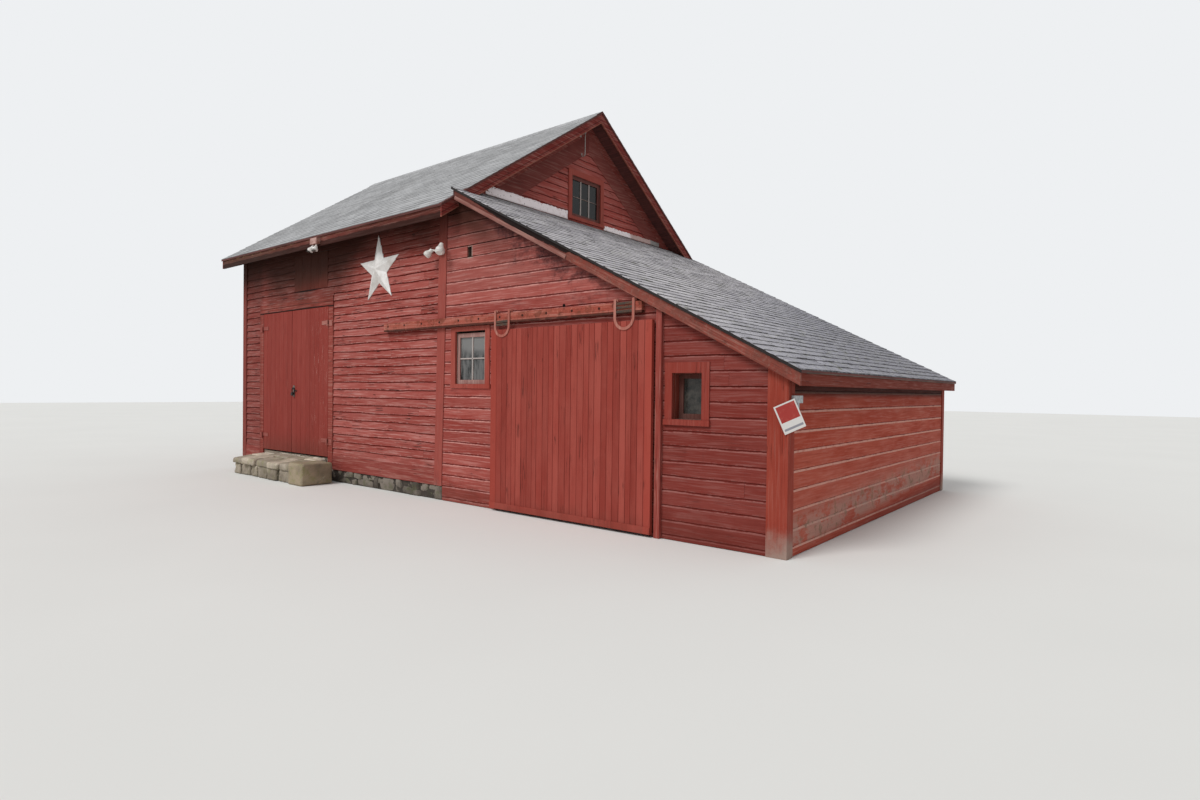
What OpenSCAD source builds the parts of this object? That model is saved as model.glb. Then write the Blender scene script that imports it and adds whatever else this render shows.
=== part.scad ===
// Small timber barn: a gabled main block with a lean-to against its right gable.
// Inside the modules X runs right along the front, Y runs back, Z runs up, with zero at
// the front left corner of the main block at ground level. in_place() then moves the
// barn so that its origin is the middle of its plan on the ground.

/* [Plan] */
// Length of the main block along the front
main_len = 5740; // [5200:10:6400]
// Length of the lean-to along the front
lean_len = 4710; // [4500:10:5400]
// Depth of both blocks from front to back
depth = 5720; // [5000:10:6400]
// Thickness of the framed walls
wall_t = 150; // [120:5:180]

/* [Ground and floor] */
// Height of the stone foundation of the main block
foundation_h = 185; // [120:5:300]
// Width of the stone foundation
foundation_t = 300; // [240:10:400]
// Height of the main floor surface above the foundation
floor_rise = 160; // [130:5:260]
// Thickness of the floor planks
plank_t = 45; // [30:1:60]
// Width of a floor joist
joist_w = 75; // [50:5:100]
// Number of floor joists
joist_count = 9; // [5:1:12]

/* [Main roof] */
// Slope of the main roof in degrees
main_pitch = 34.2; // [30:0.1:38]
// Height of the roof surface over the face of the front wall
main_top_z = 3960; // [3800:10:4300]
// Overhang of the main roof past the walls
main_over = 300; // [200:5:400]
// Thickness of the rafters under the roof deck
rafter_d = 86; // [60:2:120]
// Thickness of the roof deck with its covering
deck_t = 25; // [15:1:40]
// How far the deck runs past the boards at its edge
deck_nose = 15; // [5:1:30]
// Height of the rake boards and fascias of the main roof
main_rake_h = 145; // [120:5:200]
// Height of the frieze boards under the main rakes
frieze_h = 150; // [80:5:240]
// Thickness of the cap laid over the ridge
ridge_cap_t = 12; // [8:1:20]
// Width of the cap on each side of the ridge
ridge_cap_w = 150; // [100:5:200]

/* [Lean-to roof] */
// Slope of the lean-to roof in degrees
lean_pitch = 27; // [24:0.1:29]
// Height of the lean-to roof surface where it meets the gable wall
lean_top_z = 4137; // [4080:1:4160]
// Overhang of the lean-to roof at front and back
lean_side_over = 110; // [80:5:180]
// Overhang of the lean-to roof past its end wall
lean_eave_over = 170; // [100:5:260]
// Height of the rake boards and the fascia of the lean-to
lean_rake_h = 115; // [80:5:140]
// How far the lean-to roof laps onto the corner of the main roof
lap_len = 55; // [20:5:120]
// Height of the flashing where the lean-to roof meets the gable
flashing_h = 130; // [50:5:140]
// Length of the flashing in front of the gable window
flashing_front = 1700; // [1200:10:1800]
// Length of the flashing behind the gable window
flashing_back = 1650; // [600:10:1800]

/* [Rafters] */
// Width of a rafter
rafter_w = 45; // [38:1:60]
// Number of open bays between the rafters
rafter_bays = 9; // [6:1:12]
// Thickness of the ridge board
ridge_board_t = 38; // [25:1:60]

/* [Face boards] */
// Thickness of corner boards, casings and pilaster
board_t = 28; // [20:1:32]
// Thickness of rake boards, fascias and skirt boards
trim_t = 22; // [16:1:28]
// Width of the narrow corner boards
corner_w = 100; // [70:5:140]
// Width of the wide corner board on the front of the lean-to
lean_corner_w = 170; // [120:5:220]
// Width of the pilaster board where the lean-to begins
pilaster_w = 155; // [140:1:220]
// How far the top of the pilaster leans to the right
pilaster_lean = 82; // [0:1:100]
// Height of the skirt board under the clapboards
skirt_h = 217; // [150:1:260]

/* [Hinged doors] */
// Distance from the left corner to the doorway
door_x = 768; // [700:1:900]
// Width of the hinged doorway
door_w = 2160; // [1900:5:2300]
// Height of the hinged doorway above the floor
door_h = 2383; // [2200:1:2450]
// Width of the left leaf
left_leaf_w = 1001; // [900:1:1100]
// Width of the casing beside the doorway
door_casing_w = 128; // [90:1:140]
// Height of the casing over the doorway
door_head_h = 155; // [100:1:200]
// Gap round a door leaf
leaf_gap = 8; // [6:0.5:10]
// Gap between a leaf and the floor
leaf_rise = 25; // [10:1:35]
// Thickness of the door boards
leaf_t = 25; // [20:1:32]
// Width of the ledges nailed across the back of a leaf
ledge_w = 130; // [90:5:160]
// Height of a hinge strap
strap_h = 60; // [40:2:80]
// Length of a hinge strap
strap_len = 190; // [120:5:300]
// Radius of a hinge pin
pin_r = 8; // [6:0.5:10]
// Clearance round a hinge pin
pin_clear = 0.05; // [0.02:0.01:0.1]
// Distance from the end of a leaf to the middle of its strap
strap_inset = 250; // [150:10:400]

/* [Loft hatch] */
// Distance from the right side of the doorway back to the hatch
hatch_from = 48; // [0:1:150]
// Width of the hatch
hatch_w = 1046; // [900:1:1100]
// Height of the hatch sill above the ground
hatch_z = 3030; // [2990:5:3100]
// Height of the hatch
hatch_h = 570; // [450:5:600]

/* [Sliding door] */
// Distance from the start of the lean-to to the closed sliding door
slider_from = 987; // [960:1:1060]
// Width of the sliding door
slider_w = 2345; // [2200:5:2400]
// Height of the sliding door
slider_h = 2135; // [1950:5:2150]
// Gap under the sliding door
slider_rise = 30; // [15:1:60]
// Thickness of the sliding door
slider_t = 45; // [35:1:50]
// How far the sliding door laps its doorway on each side
slider_lap = 50; // [30:5:80]
// Gap between the sliding door and the boards behind it
slider_gap = 8; // [5:1:12]
// Height of the track board
track_h = 115; // [90:5:140]
// Distance from the left end of the track to the closed door
track_run = 2237; // [2000:1:2300]
// Width across a hanger
hanger_w = 264; // [200:2:320]
// Width of the iron bar of a hanger
hanger_bar = 30; // [20:1:40]
// Thickness of the iron bar of a hanger
hanger_t = 8; // [5:1:12]
// Radius of a hanger wheel
wheel_r = 22; // [16:1:30]
// Width of the stop post right of the sliding door
post_w = 65; // [50:5:90]

/* [Windows] */
// Distance from the start of the lean-to to the side window
side_win_from = 255; // [220:1:300]
// Width of the side window opening
side_win_w = 567; // [480:1:600]
// Height of the side window opening
side_win_h = 665; // [560:1:680]
// Distance from the stop post to the small window opening
small_win_gap = 110; // [90:1:140]
// Width of the small window opening
small_win_w = 333; // [280:1:380]
// Height of the small window sill
small_win_z = 1185; // [1100:1:1250]
// Height of the small window opening
small_win_h = 449; // [380:1:470]
// Width of the gable window opening
gable_win_w = 720; // [600:5:800]
// Height of the gable window opening
gable_win_h = 642; // [520:1:680]
// Width of a window casing
casing_w = 82; // [60:1:90]
// Thickness of a window sill
sill_t = 57; // [40:1:70]
// Width of a sash stile
stile_w = 52; // [35:1:60]
// Thickness of a sash
sash_t = 36; // [28:1:45]
// Depth of a sash behind the face of its wall
sash_in = 10; // [2:1:30]
// How far the sash of the side window has dropped in its opening
sash_drop = 25; // [0:1:40]
// Thickness of a window pane
glass_t = 4; // [3:1:6]
// Width of the square vent hole
vent_w = 86; // [60:1:110]
// Height of the square vent hole
vent_h = 140; // [100:1:170]

/* [Fittings] */
// Radius from the middle of the star to a tip
star_r = 500; // [300:5:520]
// How far the middle of the star stands out
star_d = 90; // [50:5:130]
// Distance from the start of the lean-to back to the middle of the star
star_from = 1464; // [1100:1:1700]
// Height of the middle of the star
star_z = 3150; // [3150:1:3230]
// Depth of the stone step in front of the hinged doors
step_d = 640; // [450:10:800]
// Height of the stone step at the doors
step_h = 340; // [300:5:345]
// Width of the squared block at the right end of the step
block_w = 430; // [300:10:600]
// Width of the hanging sign
sign_w = 200; // [150:5:250]
// Height of the hanging sign
sign_h = 260; // [200:5:300]

/* [Hidden] */

// Heights of the main roof: surface over any depth y, ridge and vertical thicknesses
ridge_y = depth / 2;
function main_z(y) = main_top_z + tan(main_pitch) * min(y, depth - y);
main_deck_v = deck_t / cos(main_pitch);
main_under_v = (deck_t + rafter_d) / cos(main_pitch);
main_board_over = main_over - deck_nose;
main_rake_v = main_deck_v + main_rake_h;

// Heights of the lean-to roof: surface over any place x and vertical thicknesses
full_len = main_len + lean_len;
function lean_z(x) = lean_top_z - tan(lean_pitch) * (x - main_len);
lean_deck_v = deck_t / cos(lean_pitch);
lean_under_v = (deck_t + rafter_d) / cos(lean_pitch);
lean_eave_x = full_len + lean_eave_over;
lean_board_over = lean_side_over - deck_nose;

// Floor, doorway and door leaves
floor_z = foundation_h + floor_rise;
door_top = floor_z + door_h;
leaf_z = floor_z + leaf_rise;
leaf_top = door_top - leaf_gap;
door_end = door_x + door_w;
left_leaf_end = door_x + leaf_gap + left_leaf_w;
right_leaf_x = left_leaf_end + leaf_gap;
hatch_x = door_end - hatch_from - hatch_w;
strap_t = 6;
eye_r = pin_r + 7;
pin_y = -board_t - eye_r - 5;
knuckle_h = 30;
seat_gap = 0.3;
strap_zs = [leaf_z + strap_inset, leaf_top - strap_inset];

// Sliding door, its doorway, track and post
slider_x = main_len + slider_from;
slider_y = -board_t - slider_gap;
slider_face = slider_y - slider_t;
slider_top = slider_rise + slider_h;
slider_end = slider_x + slider_w;
way_x = slider_x + slider_lap;
way_end = slider_end - slider_lap;
way_top = slider_top - slider_lap;
track_z = slider_top + 80;
track_x = slider_x - track_run;
track_end = slider_end - 135;
track_face = slider_face + 6;
hanger_xs = [slider_x + 193, slider_end - 346];
post_x = slider_end + 30;

// Windows: the side window hangs just under the track
win_head = 55;
sill_ear = 10;
side_win_x = main_len + side_win_from;
side_win_z = track_z - 6 - win_head - side_win_h;
small_win_x = post_x + post_w + small_win_gap;
gable_win_y = 2457;
gable_win_z = lean_top_z + 3 + sill_t + 23;
vent_x = side_win_x + 206;
vent_z = side_win_z + side_win_h + 924;
star_x = main_len - star_from;

// Outlet box and sign, hung from the top of the end wall
end_wall_top = lean_z(full_len) - lean_under_v;
outlet_top = end_wall_top - 182;

// Door step of stone
step_x = door_x + 130;
step_end = door_end + 372;

// Middle of the plan, where the origin goes
plan_mid = [(lean_eave_x - main_over) / 2, (depth + main_over - step_d) / 2];

module in_place() {
    translate([-plan_mid[0], -plan_mid[1], 0]) children();
}

// Box between two opposite corners
module box(lo, hi) {
    translate(lo) cube(hi - lo);
}

// Band that follows both slopes of the main roof, from one depth below its surface to another
module main_band(x0, x1, top, bottom, over) {
    eave_z = main_z(-over);
    ridge_z = main_z(ridge_y);
    translate([x0, 0, 0]) rotate([90, 0, 90]) linear_extrude(x1 - x0) polygon([
        [-over, eave_z - bottom], [-over, eave_z - top], [ridge_y, ridge_z - top],
        [depth + over, eave_z - top], [depth + over, eave_z - bottom], [ridge_y, ridge_z - bottom]
    ]);
}

// Space under the main roof, down past the ground, cut depth below the surface
module below_main(cut) {
    over = main_over + 200;
    translate([-over, 0, 0]) rotate([90, 0, 90]) linear_extrude(main_len + 2 * over) polygon([
        [-over, -10], [-over, main_z(-over) - cut], [ridge_y, main_z(ridge_y) - cut],
        [depth + over, main_z(-over) - cut], [depth + over, -10]
    ]);
}

// Band that follows the lean-to roof between two places in x and two in y
module lean_band(x0, x1, y0, y1, top, bottom) {
    translate([0, y1, 0]) rotate([90, 0, 0]) linear_extrude(y1 - y0) polygon([
        [x0, lean_z(x0) - bottom], [x1, lean_z(x1) - bottom],
        [x1, lean_z(x1) - top], [x0, lean_z(x0) - top]
    ]);
}

// Space under the lean-to roof, down past the ground, cut depth below the surface
module below_lean(cut) {
    x0 = main_len - 10;
    x1 = lean_eave_x + 100;
    y1 = depth + 600;
    translate([0, y1, 0]) rotate([90, 0, 0]) linear_extrude(y1 + 600) polygon([
        [x0, -10], [x1, -10], [x1, lean_z(x1) - cut], [x0, lean_z(x0) - cut]
    ]);
}

// Both slopes of the main roof: the deck, and the rafters that stop behind the edge boards
module main_roof_shape(gap) {
    inner = main_board_over - trim_t + gap;
    main_band(-main_over - gap, main_len + main_over + gap, -gap, main_deck_v + gap, main_over + gap);
    main_band(-inner, main_len + inner, main_deck_v, main_under_v + gap, inner);
}

// Open bays between the rafters of the main roof, inside the walls and clear of the ridge
module main_bays() {
    bay = (main_len - 2 * wall_t + rafter_w) / rafter_bays;
    half = ridge_board_t / 2;
    for (i = [0 : rafter_bays - 1]) {
        x0 = wall_t + i * bay;
        difference() {
            main_band(x0, x0 + bay - rafter_w, main_deck_v, main_under_v + 1, -wall_t);
            box([x0 - 1, ridge_y - half, 0], [x0 + bay, ridge_y + half, main_z(ridge_y)]);
        }
    }
}

// Open bays between the rafters of the lean-to, inside its walls
module lean_bays() {
    bay = (depth - 2 * wall_t + rafter_w) / rafter_bays;
    for (i = [0 : rafter_bays - 1]) {
        y0 = wall_t + i * bay;
        lean_band(main_len + ridge_board_t, full_len - wall_t, y0, y0 + bay - rafter_w,
            lean_deck_v, lean_under_v + 1);
    }
}

// Rake board of the main roof, starting at x0
module rake_shape(x0, gap) {
    top = main_deck_v + seat_gap - gap;
    main_band(x0 - gap, x0 + trim_t + gap, top, main_rake_v + gap, main_board_over + gap);
}

// Wall piece of the main block, cut by the roof above it
module main_wall(lo, hi) {
    intersection() {
        box([lo[0], lo[1], foundation_h], [hi[0], hi[1], main_z(ridge_y)]);
        below_main(main_under_v + seat_gap);
    }
}

// Wall piece of the lean-to, cut by its own roof and by the overhang of the main roof
module lean_wall(lo, hi, z0) {
    difference() {
        intersection() {
            box([lo[0], lo[1], z0], [hi[0], hi[1], lean_top_z]);
            below_lean(lean_under_v + seat_gap);
            union() {
                below_main(main_under_v + seat_gap);
                box([main_len + main_board_over - trim_t, -1, -1], [full_len + 1, depth + 1, lean_top_z]);
            }
        }
        main_roof_shape(seat_gap);
        rake_shape(main_len + main_board_over - trim_t, seat_gap);
    }
}

module foundation_wall() {
    in_place() color("gray") difference() {
        box([0, 0, 0], [main_len, depth, foundation_h]);
        box([foundation_t, foundation_t, -1],
            [main_len - foundation_t, depth - foundation_t, foundation_h + 1]);
    }
}

// Joists rest on the inner ledge of the foundation, under the planks
module floor_joists() {
    step = (main_len - 2 * wall_t - joist_w) / (joist_count - 1);
    in_place() color("burlywood") for (i = [0 : joist_count - 1]) {
        box([wall_t + i * step, wall_t, foundation_h],
            [wall_t + i * step + joist_w, depth - wall_t, floor_z - plank_t]);
    }
}

module main_floor() {
    in_place() color("tan")
        box([wall_t, wall_t, floor_z - plank_t], [main_len - wall_t, depth - wall_t, floor_z]);
}

// Rough step whose top falls away from the doors, with a squared block at its right end
module door_step() {
    fall = 45;
    lip = 30;
    in_place() color("darkgray") union() {
        translate([step_x, 0, 0]) rotate([90, 0, 90]) linear_extrude(step_end - block_w - step_x) polygon([
            [0, 0], [0, step_h], [-step_d + lip, step_h - fall], [-step_d, step_h - fall - lip], [-step_d, 0]
        ]);
        box([step_end - block_w, -step_d, 0], [step_end, -board_t - 120, step_h - 15]);
    }
}

module door_sill() {
    in_place() color("saddlebrown")
        box([door_x, 0, foundation_h], [door_end, wall_t, floor_z]);
}

module front_wall_left() {
    in_place() color("firebrick") main_wall([0, 0], [door_x, wall_t]);
}

module front_wall_head() {
    in_place() color("firebrick") difference() {
        main_wall([door_x, 0], [door_end, wall_t]);
        box([door_x - 1, -1, foundation_h - 1], [door_end + 1, wall_t + 1, door_top]);
        box([hatch_x, -1, hatch_z], [hatch_x + hatch_w, wall_t + 1, hatch_z + hatch_h]);
    }
}

module front_wall_right() {
    in_place() color("firebrick") main_wall([door_end, 0], [main_len, wall_t]);
}

module left_gable_wall() {
    in_place() color("firebrick") main_wall([0, wall_t], [wall_t, depth - wall_t]);
}

module back_wall() {
    in_place() color("firebrick") main_wall([0, depth - wall_t], [main_len, depth]);
}

module right_gable_wall() {
    in_place() color("firebrick") difference() {
        main_wall([main_len - wall_t, wall_t], [main_len, depth - wall_t]);
        box([main_len - wall_t - 1, gable_win_y, gable_win_z],
            [main_len + 1, gable_win_y + gable_win_w, gable_win_z + gable_win_h]);
    }
}

module lean_front_left() {
    in_place() color("indianred") difference() {
        lean_wall([main_len, 0], [way_x, wall_t], 0);
        box([side_win_x, -1, side_win_z],
            [side_win_x + side_win_w, wall_t + 1, side_win_z + side_win_h]);
        box([vent_x, -1, vent_z], [vent_x + vent_w, wall_t + 1, vent_z + vent_h]);
    }
}

module lean_front_head() {
    in_place() color("indianred") lean_wall([way_x, 0], [way_end, wall_t], way_top);
}

module lean_front_right() {
    in_place() color("indianred") difference() {
        lean_wall([way_end, 0], [full_len, wall_t], 0);
        box([small_win_x, -1, small_win_z],
            [small_win_x + small_win_w, wall_t + 1, small_win_z + small_win_h]);
    }
}

module lean_end_wall() {
    in_place() color("brown")
        lean_wall([full_len - wall_t, wall_t], [full_len, depth - wall_t], 0);
}

module lean_back_wall() {
    in_place() color("indianred")
        lean_wall([main_len, depth - wall_t], [full_len, depth], 0);
}

// Cap over the ridge, as long as the roof
module ridge_cap() {
    main_band(-main_over, main_len + main_over, -ridge_cap_t, 1, ridge_cap_w - ridge_y);
}

module main_roof_front() {
    top = main_z(ridge_y) + ridge_cap_t;
    in_place() color("silver") difference() {
        intersection() {
            union() {
                main_roof_shape(0);
                ridge_cap();
            }
            box([-main_over, -main_over, 0], [main_len + main_over, ridge_y, top]);
        }
        main_bays();
    }
}

module main_roof_back() {
    top = main_z(ridge_y) + ridge_cap_t;
    in_place() color("silver") difference() {
        intersection() {
            union() {
                main_roof_shape(0);
                ridge_cap();
            }
            box([-main_over, ridge_y, 0], [main_len + main_over, depth + main_over, top]);
        }
        main_bays();
    }
}

// The lean-to roof laps over the low corners of the main roof and passes under its rake
module lean_roof() {
    lap_x = main_len + main_over - lap_len;
    inner = lean_board_over - trim_t;
    in_place() color("dimgray") difference() {
        union() {
            lean_band(main_len, lean_eave_x, -lean_side_over, depth + lean_side_over, 0, lean_deck_v);
            lean_band(main_len, lean_eave_x - deck_nose - trim_t, -inner, depth + inner,
                lean_deck_v / 2, lean_under_v);
        }
        lean_bays();
        main_roof_shape(seat_gap);
        rake_shape(main_len + main_board_over - trim_t, seat_gap);
        main_band(main_len - 1, lap_x, -lean_top_z, 0, main_over + 100);
    }
}

module main_rake_boards() {
    in_place() color("maroon") {
        rake_shape(-main_board_over, 0);
        rake_shape(main_len + main_board_over - trim_t, 0);
    }
}

// Fascias at the front and back eaves, between the rake boards
module main_eave_fascias() {
    x0 = -main_board_over + trim_t;
    x1 = main_len + main_board_over - trim_t;
    z0 = main_z(-main_board_over) - main_rake_v;
    in_place() color("brown") intersection() {
        union() {
            box([x0, -main_board_over, z0], [x1, -main_board_over + trim_t, main_top_z]);
            box([x0, depth + main_board_over - trim_t, z0], [x1, depth + main_board_over, main_top_z]);
        }
        below_main(main_deck_v + seat_gap);
    }
}

// Frieze boards under the rakes on both gables
module frieze(x0) {
    intersection() {
        main_band(x0, x0 + trim_t, main_under_v + seat_gap, main_under_v + frieze_h, 0);
        box([x0, corner_w, 0], [x0 + trim_t, depth - corner_w, main_z(ridge_y)]);
    }
}

module gable_friezes() {
    in_place() color("firebrick") {
        frieze(-trim_t);
        difference() {
            frieze(main_len);
            below_lean(0);
        }
    }
}

module lean_rake_boards() {
    x1 = lean_eave_x - deck_nose;
    x0 = main_len + main_over + seat_gap;
    top = lean_deck_v + seat_gap;
    in_place() color("red") {
        lean_band(x0, x1, -lean_board_over, -lean_board_over + trim_t, top, lean_deck_v + lean_rake_h);
        lean_band(x0, x1, depth + lean_board_over - trim_t, depth + lean_board_over,
            top, lean_deck_v + lean_rake_h);
    }
}

module lean_eave_fascia() {
    x1 = lean_eave_x - deck_nose;
    inner = lean_board_over - trim_t;
    in_place() color("brown") intersection() {
        box([x1 - trim_t, -inner, lean_z(x1) - lean_deck_v - lean_rake_h],
            [x1, depth + inner, lean_top_z]);
        below_lean(lean_deck_v + seat_gap);
    }
}

// Strips of flashing on the gable, each side of the window
module gable_flashing() {
    near = gable_win_y - casing_w - sill_ear;
    far = gable_win_y + gable_win_w + casing_w + sill_ear;
    top = lean_top_z + flashing_h;
    in_place() color("white") difference() {
        intersection() {
            union() {
                box([main_len, near - flashing_front, lean_top_z - 60], [main_len + trim_t, near, top]);
                box([main_len, far, lean_top_z - 60], [main_len + trim_t, far + flashing_back, top]);
            }
            below_main(main_under_v + frieze_h + seat_gap);
        }
        below_lean(0);
    }
}

// Corner board made of two boards, at the corner (x, y) with outward signs sx and sy
module corner_pair(x, y, sx, sy, front_w, side_w, z0) {
    translate([x, y, z0]) scale([sx, sy, 1]) union() {
        box([-front_w, 0, 0], [board_t, board_t, main_top_z]);
        box([0, -side_w, 0], [board_t, 1, main_top_z]);
    }
}

// How far the pilaster has leaned over at height z
function pilaster_off(z) = pilaster_lean * (z - foundation_h) / (main_top_z - foundation_h);

// Leaning board where the lean-to begins, on the front wall, made larger all round by gap
module pilaster(gap) {
    x0 = main_len - pilaster_w - gap;
    x1 = main_len + gap;
    translate([0, gap, 0]) rotate([90, 0, 0]) linear_extrude(board_t + 2 * gap) polygon([
        [x0, foundation_h], [x1, foundation_h],
        [x1 + pilaster_lean, main_top_z], [x0 + pilaster_lean, main_top_z]
    ]);
}

module corner_boards() {
    pilaster_x = main_len - pilaster_w;
    in_place() color("firebrick") {
        intersection() {
            union() {
                corner_pair(0, 0, -1, -1, corner_w, corner_w, foundation_h);
                corner_pair(0, depth, -1, 1, corner_w, corner_w, foundation_h);
                pilaster(0);
                box([pilaster_x, depth, foundation_h], [main_len, depth + board_t, main_top_z]);
            }
            below_main(main_under_v + seat_gap);
        }
        intersection() {
            union() {
                corner_pair(full_len, 0, 1, -1, lean_corner_w, corner_w, 0);
                corner_pair(full_len, depth, 1, 1, lean_corner_w, corner_w, 0);
            }
            below_lean(lean_under_v + seat_gap);
        }
    }
}

// Skirt boards between the corner boards, on every side of the main block that is free
module skirt_boards() {
    z1 = foundation_h + skirt_h;
    casing_x = door_x - door_casing_w;
    casing_end = door_end + door_casing_w;
    pilaster_x = main_len - pilaster_w;
    in_place() color("darkred") {
        box([corner_w, -trim_t, foundation_h], [casing_x, 0, z1]);
        difference() {
            box([casing_end, -trim_t, foundation_h], [main_len, 0, z1]);
            pilaster(seat_gap);
        }
        box([-trim_t, corner_w, foundation_h], [0, depth - corner_w, z1]);
        box([corner_w, depth, foundation_h], [pilaster_x, depth + trim_t, z1]);
    }
}

module door_casing() {
    z0 = foundation_h + 65;
    in_place() color("firebrick") difference() {
        box([door_x - door_casing_w, -board_t, z0],
            [door_end + door_casing_w, 0, door_top + door_head_h]);
        box([door_x, -board_t - 1, z0 - 1], [door_end, 1, door_top]);
    }
}

// Board leaf with three ledges and a brace on its back, from x0 to x1
module leaf(x0, x1) {
    face = -board_t;
    back = face + leaf_t;
    ledge_in = 60;
    lo = leaf_z + strap_inset - ledge_w / 2;
    hi = leaf_top - strap_inset - ledge_w / 2;
    mid = (lo + hi) / 2;
    box([x0, face, leaf_z], [x1, back, leaf_top]);
    for (z = [lo, mid, hi]) {
        box([x0 + ledge_in, back - 1, z], [x1 - ledge_in, back + trim_t, z + ledge_w]);
    }
}

module left_door_leaf() {
    in_place() color("firebrick") leaf(door_x + leaf_gap, left_leaf_end);
}

module right_door_leaf() {
    in_place() color("firebrick") leaf(right_leaf_x, door_end - leaf_gap);
}

// Strap with its eye round the pin; side is 1 for a leaf that runs right from the pin
module strap(x, z, side) {
    translate([x, 0, z - strap_h / 2]) scale([side, 1, 1]) difference() {
        union() {
            box([leaf_gap, -board_t - strap_t, 0], [strap_len, -board_t, strap_h]);
            box([leaf_gap, pin_y, 0], [leaf_gap + strap_t + 2, -board_t, strap_h]);
            translate([0, pin_y, 0]) cylinder(r = eye_r, h = strap_h, $fn = 48);
        }
        translate([0, pin_y, -1]) cylinder(r = pin_r + pin_clear, h = strap_h + 2, $fn = 48);
    }
}

module left_door_straps() {
    in_place() color("indianred") for (z = strap_zs) strap(door_x, z, 1);
}

module right_door_straps() {
    in_place() color("indianred") for (z = strap_zs) strap(door_end, z, -1);
}

// Pintle on the casing: a plate, a knuckle under the eye and the pin
module pintle(x, z, side) {
    top = z - strap_h / 2 - seat_gap;
    low = top - knuckle_h;
    plate_end = -eye_r - 8;
    translate([x, 0, 0]) scale([side, 1, 1]) union() {
        box([-door_casing_w + 20, -board_t - strap_t, low], [plate_end, -board_t, z + strap_h / 2]);
        box([plate_end - 1, pin_y, low], [0, -board_t, top]);
        translate([0, pin_y, low]) cylinder(r = eye_r, h = knuckle_h, $fn = 48);
        translate([0, pin_y, top - 10]) cylinder(r = pin_r, h = strap_h + 18, $fn = 48);
    }
}

module door_pintles() {
    in_place() color("indianred") for (z = strap_zs) {
        pintle(door_x, z, 1);
        pintle(door_end, z, -1);
    }
}

// Latch plate with a ring pull and a round knob near the meeting edge of the right leaf
module door_latch() {
    x = right_leaf_x + 44;
    z = leaf_z + 1020;
    mid = x + 27;
    pull_r = 42;
    in_place() color("black") union() {
        box([x, -board_t - 4, z - 95], [x + 54, -board_t, z + 90]);
        translate([mid, -board_t - 3, z + 45]) rotate([90, 0, 0]) cylinder(r = 13, h = 20, $fn = 32);
        translate([mid, -board_t - 14, z + 45 - pull_r + 6]) rotate([90, 0, 0])
            rotate_extrude($fn = 64) translate([pull_r, 0]) circle(r = 7, $fn = 24);
        translate([mid, -board_t - 3, z - 50]) rotate([90, 0, 0]) cylinder(r = 12, h = 25, $fn = 32);
        translate([mid, -board_t - 26, z - 50]) rotate([90, 0, 0]) cylinder(r = 30, h = 16, $fn = 48);
    }
}

// Hatch set into its opening, resting on the sill of it
module loft_hatch() {
    gap = 5;
    in_place() color("firebrick")
        box([hatch_x + gap, -18, hatch_z], [hatch_x + hatch_w - gap, 22, hatch_z + hatch_h - gap]);
}

// Sliding door: upright boards with a board nailed across the foot
module sliding_door() {
    foot_h = 72;
    foot_out = 10;
    in_place() color("firebrick") union() {
        box([slider_x, slider_face, slider_rise], [slider_end, slider_y, slider_top]);
        box([slider_x, slider_face - foot_out, slider_rise],
            [slider_end, slider_face + 1, slider_rise + foot_h]);
    }
}

// Hanger: a bar bent to a U over the face of the door, with a wheel at each upper end
module hanger(x) {
    r = hanger_w / 2;
    leg_top = track_z + track_h + wheel_r;
    bend_z = track_z - 40;
    wheel_z = track_z + track_h + wheel_r + seat_gap;
    union() {
        translate([x, slider_face, bend_z]) rotate([90, 0, 0]) linear_extrude(hanger_t) difference() {
            circle(r = r, $fn = 96);
            circle(r = r - hanger_bar, $fn = 96);
            translate([-r - 1, 0]) square([2 * r + 2, r + 1]);
        }
        for (s = [-1, 1]) {
            leg_x = x + s * (r - hanger_bar / 2);
            box([leg_x - hanger_bar / 2, slider_face - hanger_t, bend_z],
                [leg_x + hanger_bar / 2, slider_face, leg_top]);
            translate([leg_x, slider_face, wheel_z]) rotate([90, 0, 0]) cylinder(r = hanger_bar / 2, h = hanger_t, $fn = 48);
            translate([leg_x, track_face + 30, wheel_z]) rotate([90, 0, 0])
                cylinder(r = 7, h = track_face + 30 - slider_face + 1, $fn = 32);
            translate([leg_x, track_face + 34, wheel_z]) rotate([90, 0, 0])
                cylinder(r = wheel_r, h = 26, $fn = 48);
        }
    }
}

module door_hangers() {
    in_place() color("rosybrown") for (x = hanger_xs) hanger(x);
}

// Track board that reaches to the wall on each side of the pilaster and passes over it
module door_track() {
    z1 = track_z + track_h;
    in_place() color("brown") difference() {
        box([track_x, track_face, track_z], [track_end, 0, z1]);
        pilaster(seat_gap);
    }
}

module door_post() {
    in_place() color("firebrick") intersection() {
        box([post_x, -board_t * 2, 0], [post_x + post_w, 0, lean_top_z]);
        below_lean(lean_under_v + seat_gap);
    }
}

// Casing round a window in a front wall, with a sill that stands out
module front_casing(x, z, w, h, top, out) {
    difference() {
        box([x - casing_w, -board_t, z - sill_t], [x + w + casing_w, 0, z + h + top]);
        box([x, -board_t - 1, z], [x + w, 1, z + h]);
    }
    box([x - casing_w - sill_ear, -board_t - out, z - sill_t], [x + w + casing_w + sill_ear, 0, z - 3]);
}

module window_casings() {
    in_place() color("firebrick") {
        front_casing(side_win_x, side_win_z, side_win_w, side_win_h, win_head, 2);
        front_casing(small_win_x, small_win_z, small_win_w, small_win_h, 104, 14);
        // the gable casing is the same frame turned to face right
        translate([main_len, gable_win_y, 0]) rotate([0, 0, 90])
            front_casing(0, gable_win_z, gable_win_w, gable_win_h, 90, 14);
    }
}

// Sash frame that fills an opening of w by h
module sash(w, h) {
    difference() {
        box([0, 0, 0], [w, sash_t, h]);
        box([stile_w, -1, stile_w], [w - stile_w, 1 + sash_t, h - stile_w]);
    }
}

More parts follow.
